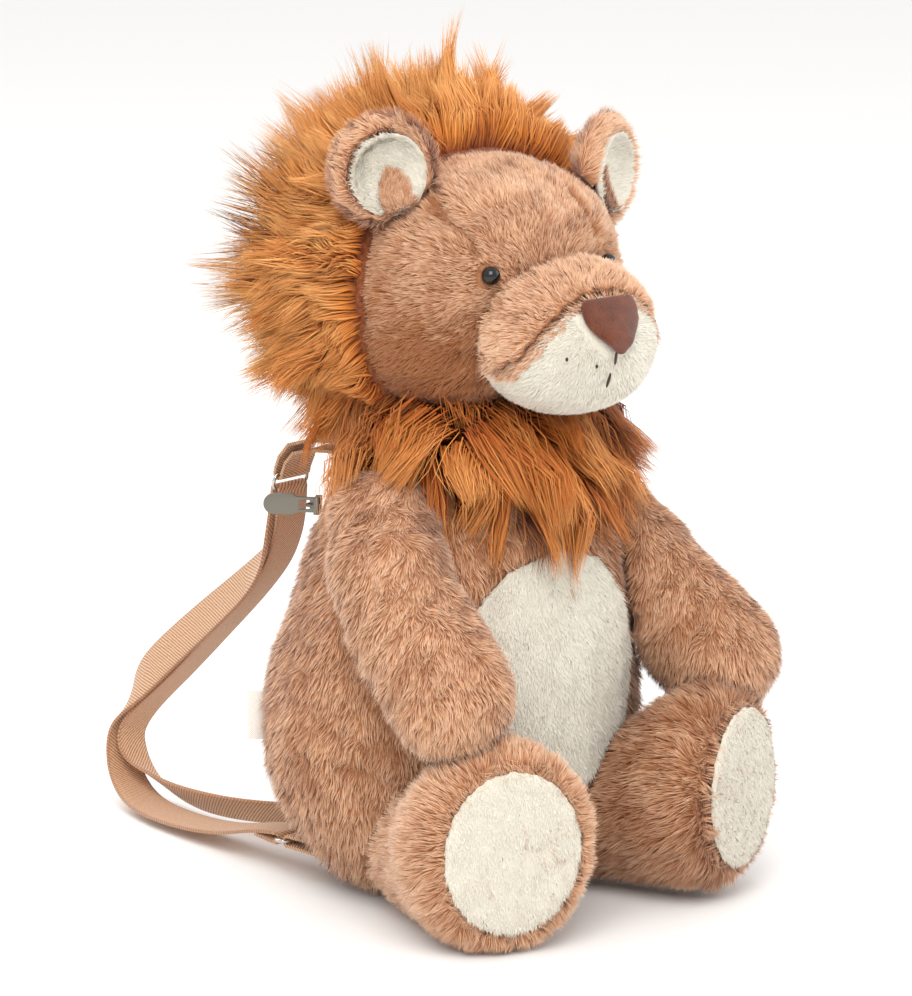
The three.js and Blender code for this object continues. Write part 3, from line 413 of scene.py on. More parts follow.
def settled(form: bmesh.types.BMesh, name: str, modifiers: Sequence[tuple[str, dict]] = ()) -> bpy.types.Mesh:
    """Turns a bmesh to a mesh, runs modifiers on it and bakes their result.

    Args:
        form: The bmesh, freed here.
        name: A working name.
        modifiers: Modifier type and its settings, in order.

    Returns:
        The finished mesh.
    """
    mesh = bpy.data.meshes.new(name)
    form.to_mesh(mesh)
    form.free()
    if not modifiers:
        return mesh
    holder = bpy.data.objects.new(name, mesh)
    bpy.context.scene.collection.objects.link(holder)
    for kind, settings in modifiers:
        modifier = holder.modifiers.new(kind, kind)
        for key, value in settings.items():
            setattr(modifier, key, value)
    bpy.context.view_layer.update()
    graph = bpy.context.evaluated_depsgraph_get()
    made = bpy.data.meshes.new_from_object(holder.evaluated_get(graph))
    bpy.data.objects.remove(holder)
    bpy.data.meshes.remove(mesh)
    return made


def smooth_faces(mesh: bpy.types.Mesh) -> bpy.types.Mesh:
    """Shades a mesh smooth and returns it."""
    mesh.polygons.foreach_set("use_smooth", np.ones(len(mesh.polygons), bool))
    return mesh


def hash_noise(points: np.ndarray, scale_mm: float, seed: int, waves: int = 14) -> np.ndarray:
    """A smooth field of vectors made of many plane waves.

    Args:
        points: Places, one a row.
        scale_mm: The rough size of its swirls.
        seed: Picks the field.
        waves: How many waves are summed.

    Returns:
        Vectors of about unit length, one a row.
    """
    rng = np.random.default_rng(seed)
    field_sum = np.zeros_like(points)
    for _ in range(waves):
        wave = rng.normal(size=3)
        wave *= 2 * math.pi / (scale_mm * MM) / np.linalg.norm(wave) * rng.uniform(0.5, 1.3)
        phase = rng.uniform(0, 2 * math.pi)
        push = rng.normal(size=3)
        field_sum += np.sin(points @ wave + phase)[:, None] * push
    return field_sum / math.sqrt(waves)


def unit(rows: np.ndarray) -> np.ndarray:
    """Rows of vectors at unit length."""
    return rows / np.maximum(np.linalg.norm(rows, axis=1, keepdims=True), 1e-9)


def read_rows(items: bpy.types.bpy_prop_collection, name: str) -> np.ndarray:
    """Reads a vector property of many items as rows of three."""
    flat = np.zeros(len(items) * 3)
    items.foreach_get(name, flat)
    return flat.reshape(-1, 3)


def tree_of(node: str) -> BVHTree:
    """A search tree over a solid's mesh."""
    mesh = bpy.data.objects[node].data
    return BVHTree.FromPolygons([v.co for v in mesh.vertices], [p.vertices for p in mesh.polygons])


def near_any(place: np.ndarray, trees: Sequence[BVHTree], limit: float) -> np.ndarray:
    """Which places lie within a limit of any tree's surface.

    Args:
        place: Places, one a row.
        trees: The surfaces.
        limit: The distance in metres.

    Returns:
        True or false, one a place.
    """
    found = np.zeros(len(place), bool)
    for tree in trees:
        found |= np.array([tree.find_nearest(p, limit)[0] is not None for p in place])
    return found


@dataclass(frozen=True)
class Pile:
    """How the fibres of a fabric grow."""

    count: int
    length_mm: float
    width_mm: float = 0.8
    lean: float = 0.7
    droop: float = 0.6
    segments: int = 1
    guides: int = 2500
    clump: float = 0.45
    ruffle: float = 0.35
    ruffle_mm: float = 16.0
    uneven: float = 0.25
    stray: float = 0.12
    curl_mm: float = 0.0
    overshoot: float = 1.0
    seed: int = 1


class PileGrower:
    """Grows fibres on a surface as one joined mesh of narrow tapered blades."""

    def __init__(self, surface: bpy.types.Mesh, pile: Pile, flow: Field) -> None:
        """Keeps the surface, the pile's settings and its comb.

        Args:
            surface: The mesh that the fibres stand on.
            pile: How they grow.
            flow: The way that the pile is combed.
        """
        self.surface = surface
        self.pile = pile
        self.flow = flow
        self.rng = np.random.default_rng(pile.seed)

    def roots(self, mask: Field | None) -> tuple[np.ndarray, np.ndarray]:
        """Scatters roots evenly over the surface.

        Args:
            mask: Gives each face's share of fibres from its centre and normal, or None for all alike.

        Returns:
            Places and surface normals, one a row.
        """
        mesh = self.surface
        mesh.calc_loop_triangles()
        verts = read_rows(mesh.vertices, "co")
        normals = read_rows(mesh.vertex_normals, "vector")
        tris = np.zeros(len(mesh.loop_triangles) * 3, np.int32)
        mesh.loop_triangles.foreach_get("vertices", tris)
        tris = tris.reshape(-1, 3)
        corner = verts[tris]
        area = np.linalg.norm(np.cross(corner[:, 1] - corner[:, 0], corner[:, 2] - corner[:, 0]), axis=1)
        if mask is not None:
            area = area * mask(corner.mean(1), unit(normals[tris].mean(1)))
        total = np.cumsum(area)
        count = self.pile.count
        picks = (np.arange(count) + self.rng.uniform(size=count)) / count * total[-1]
        face = np.minimum(np.searchsorted(total, picks), len(tris) - 1)
        u, v = self.rng.uniform(size=(2, count))
        over = u + v > 1
        u[over], v[over] = 1 - u[over], 1 - v[over]
        weights = np.stack([1 - u - v, u, v], axis=1)[:, :, None]
        place = (verts[tris[face]] * weights).sum(1)
        normal = unit((normals[tris[face]] * weights).sum(1))
        return place, normal

    def nearest_guides(self, place: np.ndarray) -> np.ndarray:
        """The index of a nearby guide fibre for each root."""
        count = min(self.pile.guides, len(place))
        chosen = self.rng.choice(len(place), count, replace=False)
        tree = KDTree(count)
        for index in chosen:
            tree.insert(place[index], int(index))
        tree.balance()
        return np.array([tree.find(p)[1] for p in place])

    def ways(self, place: np.ndarray, normal: np.ndarray) -> tuple[np.ndarray, np.ndarray]:
        """The directions that each fibre starts and ends in.

        Args:
            place: Roots.
            normal: Surface normals there.

        Returns:
            Start and end directions, one a row.
        """
        pile = self.pile
        comb = self.flow(place, normal)
        loose = comb + hash_noise(place, pile.ruffle_mm, pile.seed + 5) * pile.ruffle
        loose = loose - normal * (loose * normal).sum(1, keepdims=True)
        start = unit(normal + loose * pile.lean + self.rng.normal(size=place.shape) * pile.stray)
        finish = unit(normal * (1 - pile.droop) + comb * pile.droop + loose * 0.5)
        return start, finish

    def lengths(self, place: np.ndarray, chord: np.ndarray, reach: BVHTree | None) -> np.ndarray:
        """Each fibre's length: to the edge of a form where one is given.

        Args:
            place: Roots.
            chord: The way from root to tip.
            reach: The form's search tree, or None for the pile's own length.

        Returns:
            Lengths in metres.
        """
        pile = self.pile
        own = np.full(len(place), pile.length_mm * MM)
        if reach is not None:
            far = 2.5 * pile.length_mm * MM
            for index, (root, way) in enumerate(zip(place, chord)):
                hit = reach.ray_cast(root + way * far, -way, far)[3]
                own[index] = far - hit if hit is not None else pile.length_mm * MM * 0.6
        full = pile.length_mm * MM
        vary = 1 + self.rng.normal(size=len(place)) * pile.uneven
        return np.clip(own, 0.2 * full, 1.5 * full) * np.clip(vary, 0.5, 1.35) * pile.overshoot

    def grow(
        self,
        mask: Field | None = None,
        scale: Field | None = None,
        tone: Field | None = None,
        facing: Field | None = None,
        reach: BVHTree | None = None,
        lift_mm: float = 0.0,
        neighbours: Sequence[BVHTree] = (),
        eyes: Sequence[BVHTree] = (),
        blockers: Sequence[BVHTree] = (),
    ) -> bpy.types.Mesh:
        """Grows the pile.

        Args:
            mask: Share of fibres by place and normal.
            scale: Share of the full length by place and normal.
            tone: Added to each fibre's shade; callers pass painted shade through it as well as the pile's own tones.
            facing: Added to each fibre's shading normal.
            reach: A form that the tips reach to.
            lift_mm: How far the neighbours' seams lie above the surface.
            neighbours: Solids that no root lies against.
            eyes: Solids that roots keep well clear of.
            blockers: Solids that no fibre passes through.

        Returns:
            A mesh with a map of shade and length, and normals that follow the surface.
        """
        pile = self.pile
        place, normal = self.roots(mask)
        outer = place + normal * lift_mm * MM
        keep = ~near_any(outer, neighbours, SEAM_ROOM) & ~near_any(outer, eyes, EYE_ROOM)
        place, normal = place[keep], normal[keep]
        start, finish = self.ways(place, normal)
        chord = unit(start + finish)
        length = self.lengths(place, chord, reach)
        if reach is not None:
            # A bent fibre is longer than the way from its root to its tip
            length = length * 2 / np.linalg.norm(start + finish, axis=1)
        if scale is not None:
            length = length * scale(place, normal)
        free = np.ones(len(place), bool)
        for tree in blockers:
            free &= np.array([tree.ray_cast(p, c, n)[0] is None for p, c, n in zip(place, chord, length)])
        place, normal, start, finish, length = (rows[free] for rows in (place, normal, start, finish, length))
        count = len(place)
        steps = np.linspace(0, 1, pile.segments + 1)
        root = place - normal * 0.4 * MM
        lines = np.stack(
            [root + (start * (t - t * t / 2) + finish * (t * t / 2)) * length[:, None] for t in steps], axis=1
        )
        guide = self.nearest_guides(place)
        pull = (steps**1.3 * pile.clump)[None, :, None] * self.rng.uniform(0.5, 1.0, size=(count, 1, 1))
        lines = lines * (1 - pull) + (lines[guide] + (lines[:, :1] - lines[guide][:, :1]) * 0.25) * pull
        if pile.curl_mm:
            curl = hash_noise(lines.reshape(-1, 3), 34, pile.seed + 3).reshape(lines.shape)
            lines = lines + curl * (steps**1.2)[None, :, None] * pile.curl_mm * MM
        lines[:, :, 2] = np.maximum(lines[:, :, 2], FLOOR_ROOM)
        shade = 0.5 + hash_noise(place, 26, pile.seed + 9)[:, 0] * 0.12 + self.rng.normal(size=count) * 0.28
        shade = 0.5 * shade + 0.5 * shade[guide]
        if tone is not None:
            shade = shade + tone(place, normal)
        if facing is not None:
            normal = unit(normal + facing(place, normal))
        return self.blades(lines, normal, np.clip(shade, 0, 1))

    def blades(self, lines: np.ndarray, normal: np.ndarray, shade: np.ndarray) -> bpy.types.Mesh:
        """Widens each line to a tapered blade and joins them all in one mesh.

        Args:
            lines: Points as fibre, step, coordinate.
            normal: The surface normal at each root.
            shade: Each fibre's shade from 0 to 1.

        Returns:
            The mesh.
        """
        pile = self.pile
        count = len(lines)
        along = unit(lines[:, -1] - lines[:, 0])
        side = unit(np.cross(along, normal) + self.rng.normal(size=along.shape) * 0.3)
        half = np.linspace(1, 0.5, pile.segments + 1)[:-1] * pile.width_mm * MM / 2
        per = 2 * pile.segments + 1
        verts = np.empty((count, per, 3))
        verts[:, 0 : per - 1 : 2] = lines[:, :-1] - side[:, None, :] * half[None, :, None]
        verts[:, 1:per:2] = lines[:, :-1] + side[:, None, :] * half[None, :, None]
        verts[:, per - 1] = lines[:, -1]
        verts[:, :, 2] = np.maximum(verts[:, :, 2], FLOOR_ROOM)
        lying = unit(normal - along * (normal * along).sum(1, keepdims=True) * 0.4)
        outward = unit(lying + self.rng.normal(size=lying.shape) * 0.1)
        quads = [[2 * s, 2 * s + 1, 2 * s + 3, 2 * s + 2] for s in range(pile.segments - 1)]
        last = 2 * (pile.segments - 1)
        pattern = [*sum(quads, []), last, last + 1, last + 2]
        sizes = [4] * len(quads) + [3]
        starts = np.concatenate([[0], np.cumsum(sizes)[:-1]])
        base = np.arange(count)[:, None]
        corners = (np.array(pattern)[None, :] + base * per).ravel()
        loop_starts = (starts[None, :] + base * len(pattern)).ravel()
        mesh = bpy.data.meshes.new("pile")
        mesh.vertices.add(count * per)
        mesh.vertices.foreach_set("co", verts.reshape(-1).astype(np.float32))
        mesh.loops.add(len(corners))
        mesh.loops.foreach_set("vertex_index", corners.astype(np.int32))
        mesh.polygons.add(len(loop_starts))
        mesh.polygons.foreach_set("loop_start", loop_starts.astype(np.int32))
        mesh.polygons.foreach_set("use_smooth", np.ones(len(loop_starts), bool))
        height = np.array([*sum([[s / pile.segments] * 2 for s in range(pile.segments)], []), 1.0])
        across = np.repeat(shade * 0.96 + 0.02, len(pattern))
        upward = np.tile(height[pattern] * 0.96 + 0.02, count)
        layer = mesh.uv_layers.new(name="OFBake")
        layer.data.foreach_set("uv", np.stack([across, upward], axis=1).ravel().astype(np.float32))
        mesh.update(calc_edges=True)
        mesh.normals_split_custom_set_from_vertices(np.repeat(outward, per, axis=0).astype(np.float32))
        return mesh


def down(place: np.ndarray, normal: np.ndarray) -> np.ndarray:
    """A pile that is combed down."""
    return np.tile([0.0, 0.0, -1.0], (len(place), 1))


@dataclass(frozen=True)
class AwayFrom:
    """A pile that is combed away from a point, with a pull of its own."""

    centre: tuple[float, float, float]
    pull: tuple[float, float, float] = (0.0, 0.0, -0.3)

    def __call__(self, place: np.ndarray, normal: np.ndarray) -> np.ndarray:
        """The comb at each place, laid along the surface."""
        way = unit(place - np.array(self.centre)) + np.array(self.pull)
        way = way - normal * (way * normal).sum(1, keepdims=True)
        return way / np.maximum(np.linalg.norm(way, axis=1, keepdims=True), 0.3)


class Growth(Enum):
    """Named pile kinds of the toy."""

    TAN = "tan"
    IVORY = "ivory"


@dataclass(frozen=True)
class Tone:
    """A patch of pile that is darker or paler than the rest."""

    centre: tuple[float, float, float]
    radius_mm: float
    amount: float

    def at(self, place: np.ndarray) -> np.ndarray:
        """The change of shade at each place."""
        gap = np.linalg.norm(place - np.array(self.centre) * MM, axis=1) / (self.radius_mm * MM)
        return self.amount * np.exp(-(gap**2))


@dataclass(frozen=True)
class Crease:
    """A sewn dart: a groove pressed in the front of a piece along a line of points in X and Z, in millimetres."""

    line: tuple[tuple[float, float], ...]
    depth_mm: float = 4.0
    width_mm: float = 5.0

    def points(self, mesh: bpy.types.Mesh) -> np.ndarray:
        """The line's points, dropped on the front of a mesh."""
        tree = BVHTree.FromPolygons([v.co for v in mesh.vertices], [p.vertices for p in mesh.polygons])
        hits = [tree.ray_cast((x * MM, -1.0, z * MM), (0, 1, 0))[0] for x, z in self.line]
        return np.array([h for h in hits if h is not None])

    def nearness(self, place: np.ndarray, points: np.ndarray) -> np.ndarray:
        """How deep in the groove each place lies, from 0 to 1.

        Args:
            place: Places, one a row.
            points: The line's points.

        Returns:
            One number a place.
        """
        best = np.full(len(place), 1e9)
        for a, b in zip(points[:-1], points[1:]):
            run = b - a
            t = np.clip(((place - a) @ run) / (run @ run), 0, 1)
            best = np.minimum(best, np.linalg.norm(place - (a + t[:, None] * run), axis=1))
        return np.exp(-((best / (self.width_mm * MM)) ** 2))


@dataclass
class PlushPiece:
    """A stuffed or padded piece with a short pile: its backing follows the solid, and its fibres stand on it."""

    node: str
    growth: Growth
    count: int
    flow: Field
    voxel_mm: float = 3.5
    rounds: int = 6
    inset_mm: float = 2.2
    length_mm: float = 6.5
    width_mm: float = 0.7
    fill: float = 0.8
    seed: int = 1
    dent_mm: float = 0.8
    mask: Field | None = None
    creases: tuple[Crease, ...] = ()
    tones: tuple[Tone, ...] = ()
    shade: float = 0.0
    ignore: tuple[str, ...] = ()

    def backing(self) -> bpy.types.Mesh:
        """Builds the smooth backing under the fibres.

        Returns:
            The backing's mesh.
        """
        steps = [
            ("REMESH", {"mode": "VOXEL", "voxel_size": self.voxel_mm * MM, "use_smooth_shade": True}),
            ("SMOOTH", {"factor": 0.5, "iterations": self.rounds}),
        ]
        mesh = settled(copy_of(self.node), self.node + "_form", steps)
        co = read_rows(mesh.vertices, "co")
        normals = read_rows(mesh.vertex_normals, "vector")
        # The stuffing's soft dents; nothing is drawn in where the piece rests on the floor
        dents = (hash_noise(co, 42, self.seed)[:, 0] + 0.5 * hash_noise(co, 17, self.seed + 1)[:, 0]) * self.dent_mm
        inset = (self.inset_mm - dents) * MM * np.clip(co[:, 2] / 0.015, 0, 1)
        for crease in self.creases:
            inset = inset + crease.nearness(co, crease.points(mesh)) * crease.depth_mm * MM
        co = co - normals * inset[:, None]
        co[:, 2] = np.maximum(co[:, 2], FLOOR_ROOM)
        mesh.vertices.foreach_set("co", co.ravel())
        mesh.update()
        return smooth_faces(mesh)

    def neighbours(self, nodes: Sequence[str]) -> list[BVHTree]:
        """Search trees of the solids that come close to this one.

        Args:
            nodes: Names of all the solids.

        Returns:
            One tree a close solid.
        """
        low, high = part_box(self.node)
        close = []
        for other in nodes:
            if other in (self.node, *self.ignore) or other.startswith("eye_"):
                continue
            other_low, other_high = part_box(other)
            gaps = [max(other_low[i] - high[i], low[i] - other_high[i]) for i in range(3)]
            if max(gaps) < 3 * MM:
                close.append(tree_of(other))
        return close

    def build(self, nodes: Sequence[str]) -> None:
        """Makes the backing and the pile of the piece.

        Args:
            nodes: Names of all the solids.
        """
        ivory = self.growth is Growth.IVORY
        backing = self.backing()
        skin = show(backing, self.node + "_backing", IVORY_BACKING if ivory else TAN_BACKING)
        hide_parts(self.node)
        pile = Pile(
            count=self.count,
            length_mm=self.length_mm,
            width_mm=self.width_mm,
            lean=1.2 if ivory else 0.85,
            guides=max(self.count // 12, 10),
            clump=0.1 if ivory else 0.45,
            ruffle=0.2 if ivory else 0.55,
            ruffle_mm=11.0,
            stray=0.06 if ivory else 0.3,
            seed=self.seed,
        )
        lines = [(crease, crease.points(backing)) for crease in self.creases]

        def shorter(place: np.ndarray, normal: np.ndarray) -> np.ndarray:
            share = np.ones(len(place))
            for crease, points in lines:
                share -= 0.5 * crease.nearness(place, points)
            return np.clip(share, 0.3, 1)

        def painted_shade_and_tone(place: np.ndarray, normal: np.ndarray) -> np.ndarray:
            shade = np.full(len(place), self.shade)
            for crease, points in lines:
                # Painted shade: the pile along a dart's groove is darkened
                shade -= 0.9 * crease.nearness(place, points)
            for tone in self.tones:
                shade += tone.at(place)
            return shade

        mesh = PileGrower(backing, pile, self.flow).grow(
            mask=self.mask,
            scale=shorter,
            tone=painted_shade_and_tone,
            lift_mm=self.inset_mm,
            neighbours=self.neighbours(nodes),
            eyes=[tree_of("eye_right"), tree_of("eye_left")] if self.node in ("head", "muzzle_top") else (),
        )
        fibres = show(mesh, self.node + "_pile", IVORY_STRANDS if ivory else TAN_STRANDS)
        LOG.info("%s: backing %d faces, pile %d faces", self.node, len(backing.polygons), len(mesh.polygons))


@dataclass
class Mane:
    """The long pile over the back of the head and the bib on the chest."""

    seam_y: float
    centre: Vector
    hood_count: int = 34400
    fringe_count: int = 18000
    bib_count: int = 19000

    def hood_backing(self) -> bpy.types.Mesh:
        """The fabric behind the face seam, a little proud of the head.

        Returns:
            The backing's mesh.
        """
        form = copy_of("head")
        bmesh.ops.recalc_face_normals(form, faces=form.faces)
        form.normal_update()
        for vert in form.verts:
            vert.co += vert.normal * 2.5 * MM
        geometry = [*form.verts, *form.edges, *form.faces]
        cut = bmesh.ops.bisect_plane(
            form, geom=geometry, plane_co=(0, self.seam_y, 0), plane_no=(0, -1, 0), clear_outer=True
        )
        edges = [e for e in cut["geom_cut"] if isinstance(e, bmesh.types.BMEdge)]
        bmesh.ops.holes_fill(form, edges=edges)
        bmesh.ops.recalc_face_normals(form, faces=form.faces)
        steps = [
            ("REMESH", {"mode": "VOXEL", "voxel_size": 4 * MM, "use_smooth_shade": True}),
            ("SMOOTH", {"factor": 0.5, "iterations": 3}),
        ]
        return smooth_faces(settled(form, "hood_form", steps))

    def flow(self, place: np.ndarray, normal: np.ndarray) -> np.ndarray:
        """Long hair springs away from the face's middle and then sinks a little."""
        away = place - np.array(self.centre)
        away[:, 1] = np.maximum(away[:, 1], 0) * 0.7 + 0.008
        low = np.clip((self.centre.z - place[:, 2]) / 0.05, 0, 1)
        return unit(away) + np.array([0.0, 0.05, -0.15]) + low[:, None] * np.array([0.0, 0.1, -0.35])

    def forward(self, place: np.ndarray, normal: np.ndarray) -> np.ndarray:
        """Hair that stands up around the face shows its front, so its shading turns forward there."""
        near = np.clip(1 - (place[:, 1] - self.seam_y) / 0.1, 0, 1)
        return near[:, None] * np.array([-0.3, -1.0, 0.3])

    def spread(self, place: np.ndarray, normal: np.ndarray) -> np.ndarray:
        """Hair at the sides and the back is longer than hair on the crown, most of all at its front."""
        front = np.clip(1.2 - (place[:, 1] - self.seam_y) / 0.06, 0.4, 1)
        return 1.16 - 0.28 * front * np.clip(normal[:, 2], 0, 1)

    def painted_underside_shade(self, place: np.ndarray, normal: np.ndarray) -> np.ndarray:
        """Painted shade: hair low on the hood and on the chest is darker."""
        return -0.3 * np.clip((self.centre.z - 0.01 - place[:, 2]) / 0.04, 0, 1)

    def build(self) -> None:
        """Makes the hood, its long hair, the fringe along the seam, and the bib."""
        backing = self.hood_backing()
        skin = show(backing, "mane_backing", MANE_BACKING)
        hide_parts("mane")
        seam = self.seam_y
        low_limit = self.centre.z - 0.1
        hood = Pile(
            self.hood_count, 42, 0.85, lean=0.3, droop=0.75, segments=3, guides=420, clump=0.8,
            ruffle=0.35, ruffle_mm=60, uneven=0.22, curl_mm=4.0, overshoot=1.1, seed=21,
        )
        fringe = Pile(
            self.fringe_count, 40, 0.85, lean=0.4, droop=0.8, segments=3, guides=220, clump=0.8,
            ruffle=0.35, ruffle_mm=50, uneven=0.25, curl_mm=4.0, overshoot=1.1, seed=22,
        )

        def behind(place: np.ndarray, normal: np.ndarray) -> np.ndarray:
            return ((place[:, 1] > seam + 0.004) & (place[:, 2] > low_limit)).astype(float)

        def edge(place: np.ndarray, normal: np.ndarray) -> np.ndarray:
            return ((place[:, 1] > seam - 0.001) & (place[:, 1] < seam + 0.03) & (normal[:, 1] > -0.7)).astype(float)

        form = tree_of("mane")
        blockers = [tree_of(n) for n in ("ear_right", "ear_left", "arm_right", "arm_left", "top_tab")]
        for name, pile, mask in (("mane_pile", hood, behind), ("mane_fringe", fringe, edge)):
            mesh = PileGrower(backing, pile, self.flow).grow(
                mask=mask, scale=self.spread, reach=form, tone=self.painted_underside_shade, facing=self.forward,
                blockers=blockers,
            )
            hair = show(mesh, name, MANE_STRANDS)
            LOG.info("%s: %d faces", name, len(mesh.polygons))
        self.build_bib()

    def build_bib(self) -> None:
        """Makes the bib's collar and its hanging hair."""
        low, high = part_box("mane_bib")
        steps = [
            ("REMESH", {"mode": "VOXEL", "voxel_size": 3 * MM, "use_smooth_shade": True}),
            ("SMOOTH", {"factor": 0.5, "iterations": 4}),
        ]
        form = copy_of("torso")
        for vert in form.verts:
            vert.co.z += 0.5 * MM
        geometry = [*form.verts, *form.edges, *form.faces]
        bmesh.ops.bisect_plane(
            form, geom=geometry, plane_co=(0, 0, high.z - 30 * MM), plane_no=(0, 0, -1), clear_outer=True
        )
        form.normal_update()
        for vert in form.verts:
            vert.co += vert.normal * 1.5 * MM
        bmesh.ops.holes_fill(form, edges=form.edges)
        backing = smooth_faces(settled(form, "bib_form", steps))
        skin = show(backing, "mane_bib_backing", MANE_BACKING)
        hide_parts("mane_bib")
        middle = Vector(((low.x + high.x) / 2, self.seam_y, 0))

        def front(place: np.ndarray, normal: np.ndarray) -> np.ndarray:
            outward = (place[:, 0] - middle.x) * normal[:, 0] + (place[:, 1] - middle.y) * normal[:, 1] > 0
            return (outward & (place[:, 1] < self.seam_y + 0.014)).astype(float)

        def fall(place: np.ndarray, normal: np.ndarray) -> np.ndarray:
            spread = np.stack([place[:, 0] - middle.x, place[:, 1] - middle.y, np.zeros(len(place))], axis=1)
            return unit(unit(spread) * 0.22 + np.array([0.0, 0.0, -1.0]))

        def drop(place: np.ndarray, normal: np.ndarray) -> np.ndarray:
            return np.clip((place[:, 2] - low.z + 0.012) / (high.z - low.z), 0.3, 1)

        pile = Pile(
            self.bib_count, 58, 0.85, lean=0.4, droop=0.9, segments=3, guides=100, clump=0.9,
            ruffle=0.45, ruffle_mm=45, uneven=0.35, curl_mm=5.0, seed=23,
        )
        mesh = PileGrower(backing, pile, fall).grow(mask=front, scale=drop, tone=self.painted_underside_shade)
        hair = show(mesh, "mane_bib_pile", MANE_STRANDS)
        LOG.info("bib: %d faces", len(mesh.polygons))


@dataclass
class Overlap:
    """Tan pile that spills over a seam from one piece on to the next."""

    name: str
    node: str
    cover: Field
    comb: Field
    count: int
    length_mm: float = 7.0
    lean: float = 0.9
    shade: float = 0.2

    def build(self) -> None:
        """Grows the pile on the piece's backing."""
        pile = Pile(
            self.count, self.length_mm, 0.7, lean=self.lean, guides=self.count // 10, ruffle=0.6, ruffle_mm=11.0,
            stray=0.3, seed=50,
        )

        def tone(place: np.ndarray, normal: np.ndarray) -> np.ndarray:
            """One shade over the whole overlap."""
            return np.full(len(place), self.shade)

        surface = bpy.data.objects[self.node + "_backing"].data
        mesh = PileGrower(surface, pile, self.comb).grow(mask=self.cover, tone=tone)
        tuft = show(mesh, self.name, TAN_STRANDS)
        LOG.info("%s: %d faces", self.name, len(mesh.polygons))


def ear_fold(side: str) -> Overlap:
    """The tan pile in the fold of an ear, over the inner lower part of its lining.

    Args:
        side: Which ear, as in the solid's name.

    Returns:
        The overlap.
    """
    node = "ear_lining_" + side
    low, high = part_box(node)
    size = high - low
    inner = 0.62 if side == "right" else 0.38
    hollow = np.array([low.x + size.x * inner, low.z + size.z * 0.12])

    def fold(place: np.ndarray, normal: np.ndarray) -> np.ndarray:
        """Where the fold lies on the lining's face."""
        gap = np.linalg.norm((place[:, [0, 2]] - hollow) / np.array([0.17 * size.x, 0.38 * size.z]), axis=1)
        return ((gap < 1) & (normal[:, 1] < -0.2)).astype(float)

    comb = AwayFrom((hollow[0], low.y, low.z - 0.01), (0, 0, 0.2))
    return Overlap("ear_fold_" + side, node, fold, comb, 2600, length_mm=5.5, shade=-0.1)


def edge_of(solid: str, room_mm: float) -> Field:
    """A field that is one within some millimetres of a solid, and else zero."""
    tree = tree_of(solid)

    def near(place: np.ndarray, normal: np.ndarray) -> np.ndarray:
        """One beside the solid."""
        return near_any(place, [tree], room_mm * MM).astype(float)

    return near


def sole_rim(side: str) -> Overlap:
    """The foot's pile that stands around the sole and leans in over it.

    Args:
        side: Which foot, as in the solid's name.

    Returns:
        The overlap.
    """
    low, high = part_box("sole_" + side)
    middle = np.array((low + high) / 2)

    def inwards(place: np.ndarray, normal: np.ndarray) -> np.ndarray:
        """A comb to the sole's middle and forwards."""
        return unit(middle - place) * 0.5 + np.array([0.0, -0.8, 0.0])

    return Overlap("sole_rim_" + side, "leg_" + side, edge_of("sole_" + side, 6.0), inwards, 7000, shade=0.25)


@dataclass
class Face:
    """Eyes, nose, mouth stitches and whisker knots, with the sewn places given in X and Z in millimetres."""

    mouth: tuple[tuple[float, float], ...] = ((-6.6, 281.5), (-7.8, 275.5), (-10.0, 271.0), (-10.9, 264.5))
    whiskers: tuple[tuple[float, float], ...] = ((-32.9, 279.9), (-18.2, 275.4))
    thread_mm: float = 1.5
    nose_taper: float = 0.4

    def build(self) -> None:
        """Makes the hard and sewn parts of the face."""
        for side in ("right", "left"):
            self.eye(side)
        self.nose()
        self.stitches()

    def stitches(self) -> None:
        """Two stitches down the mouth and two whisker knots, drawn on the front of the chin."""
        tree = tree_of("muzzle_chin")
        form = bmesh.new()
        first, second = self.mouth[:2], self.mouth[2:]
        knots = [((x, z + 0.5), (x, z - 0.5)) for x, z in self.whiskers]
        for ends in (first, second, *knots):
            places = [tree.ray_cast((x * MM, -1.0, z * MM), (0, 1, 0))[0] for x, z in ends]
            middle = (places[0] + places[1]) / 2 + Vector((0, -2.0 * MM, 0))
            way = places[1] - places[0]
            turn = way.to_track_quat("Z", "Y").to_matrix().to_4x4()
            size = Matrix.Diagonal((self.thread_mm / 2, self.thread_mm / 2, way.length / MM / 2 + 0.5, 1))
            bmesh.ops.create_uvsphere(
                form, u_segments=12, v_segments=8, radius=MM, matrix=Matrix.Translation(middle) @ turn @ size
            )
        thread = show(smooth_faces(settled(form, "stitch_form")), "face_stitches", BROWN_THREAD)

    def eye(self, side: str) -> None:
        """A polished bead seated in the plush.

        Args:
            side: Which eye, as in the solid's name.
        """
        low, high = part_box("eye_" + side)
        radius = max(high.x - low.x, high.z - low.z) / 2
        form = bmesh.new()
        bmesh.ops.create_uvsphere(form, u_segments=32, v_segments=20, radius=radius)
        middle = Vector(((low.x + high.x) / 2, low.y + radius * 1.0, (low.z + high.z) / 2))
        bmesh.ops.translate(form, verts=form.verts, vec=middle)
        bead = show(smooth_faces(settled(form, "eye_form")), "eye_bead_" + side, BLACK_BEAD)
        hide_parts("eye_" + side)

    def nose(self) -> None:
        """A soft rounded triangle of velour."""
        steps = [
            ("REMESH", {"mode": "VOXEL", "voxel_size": 0.9 * MM, "use_smooth_shade": True}),
            ("SMOOTH", {"factor": 0.5, "iterations": 16}),
        ]
        form = copy_of("nose")
        low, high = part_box("nose")
        middle = (low + high) / 2
        for vert in form.verts:
            drop = max(0.0, (middle.z - vert.co.z) / (high.z - low.z) * 2)
            vert.co.x = middle.x + (vert.co.x - middle.x) * (1 - self.nose_taper * drop)
        mesh = smooth_faces(settled(form, "nose_form", steps))
        nose = show(mesh, "nose_velour", NOSE_VELOUR)
        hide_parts("nose")
        LOG.info("nose: %d faces", len(mesh.polygons))


class Hold(Enum):
    """Named ways that a piece of cloth is held."""

    HUNG = "hung"
    FOLDED = "folded"


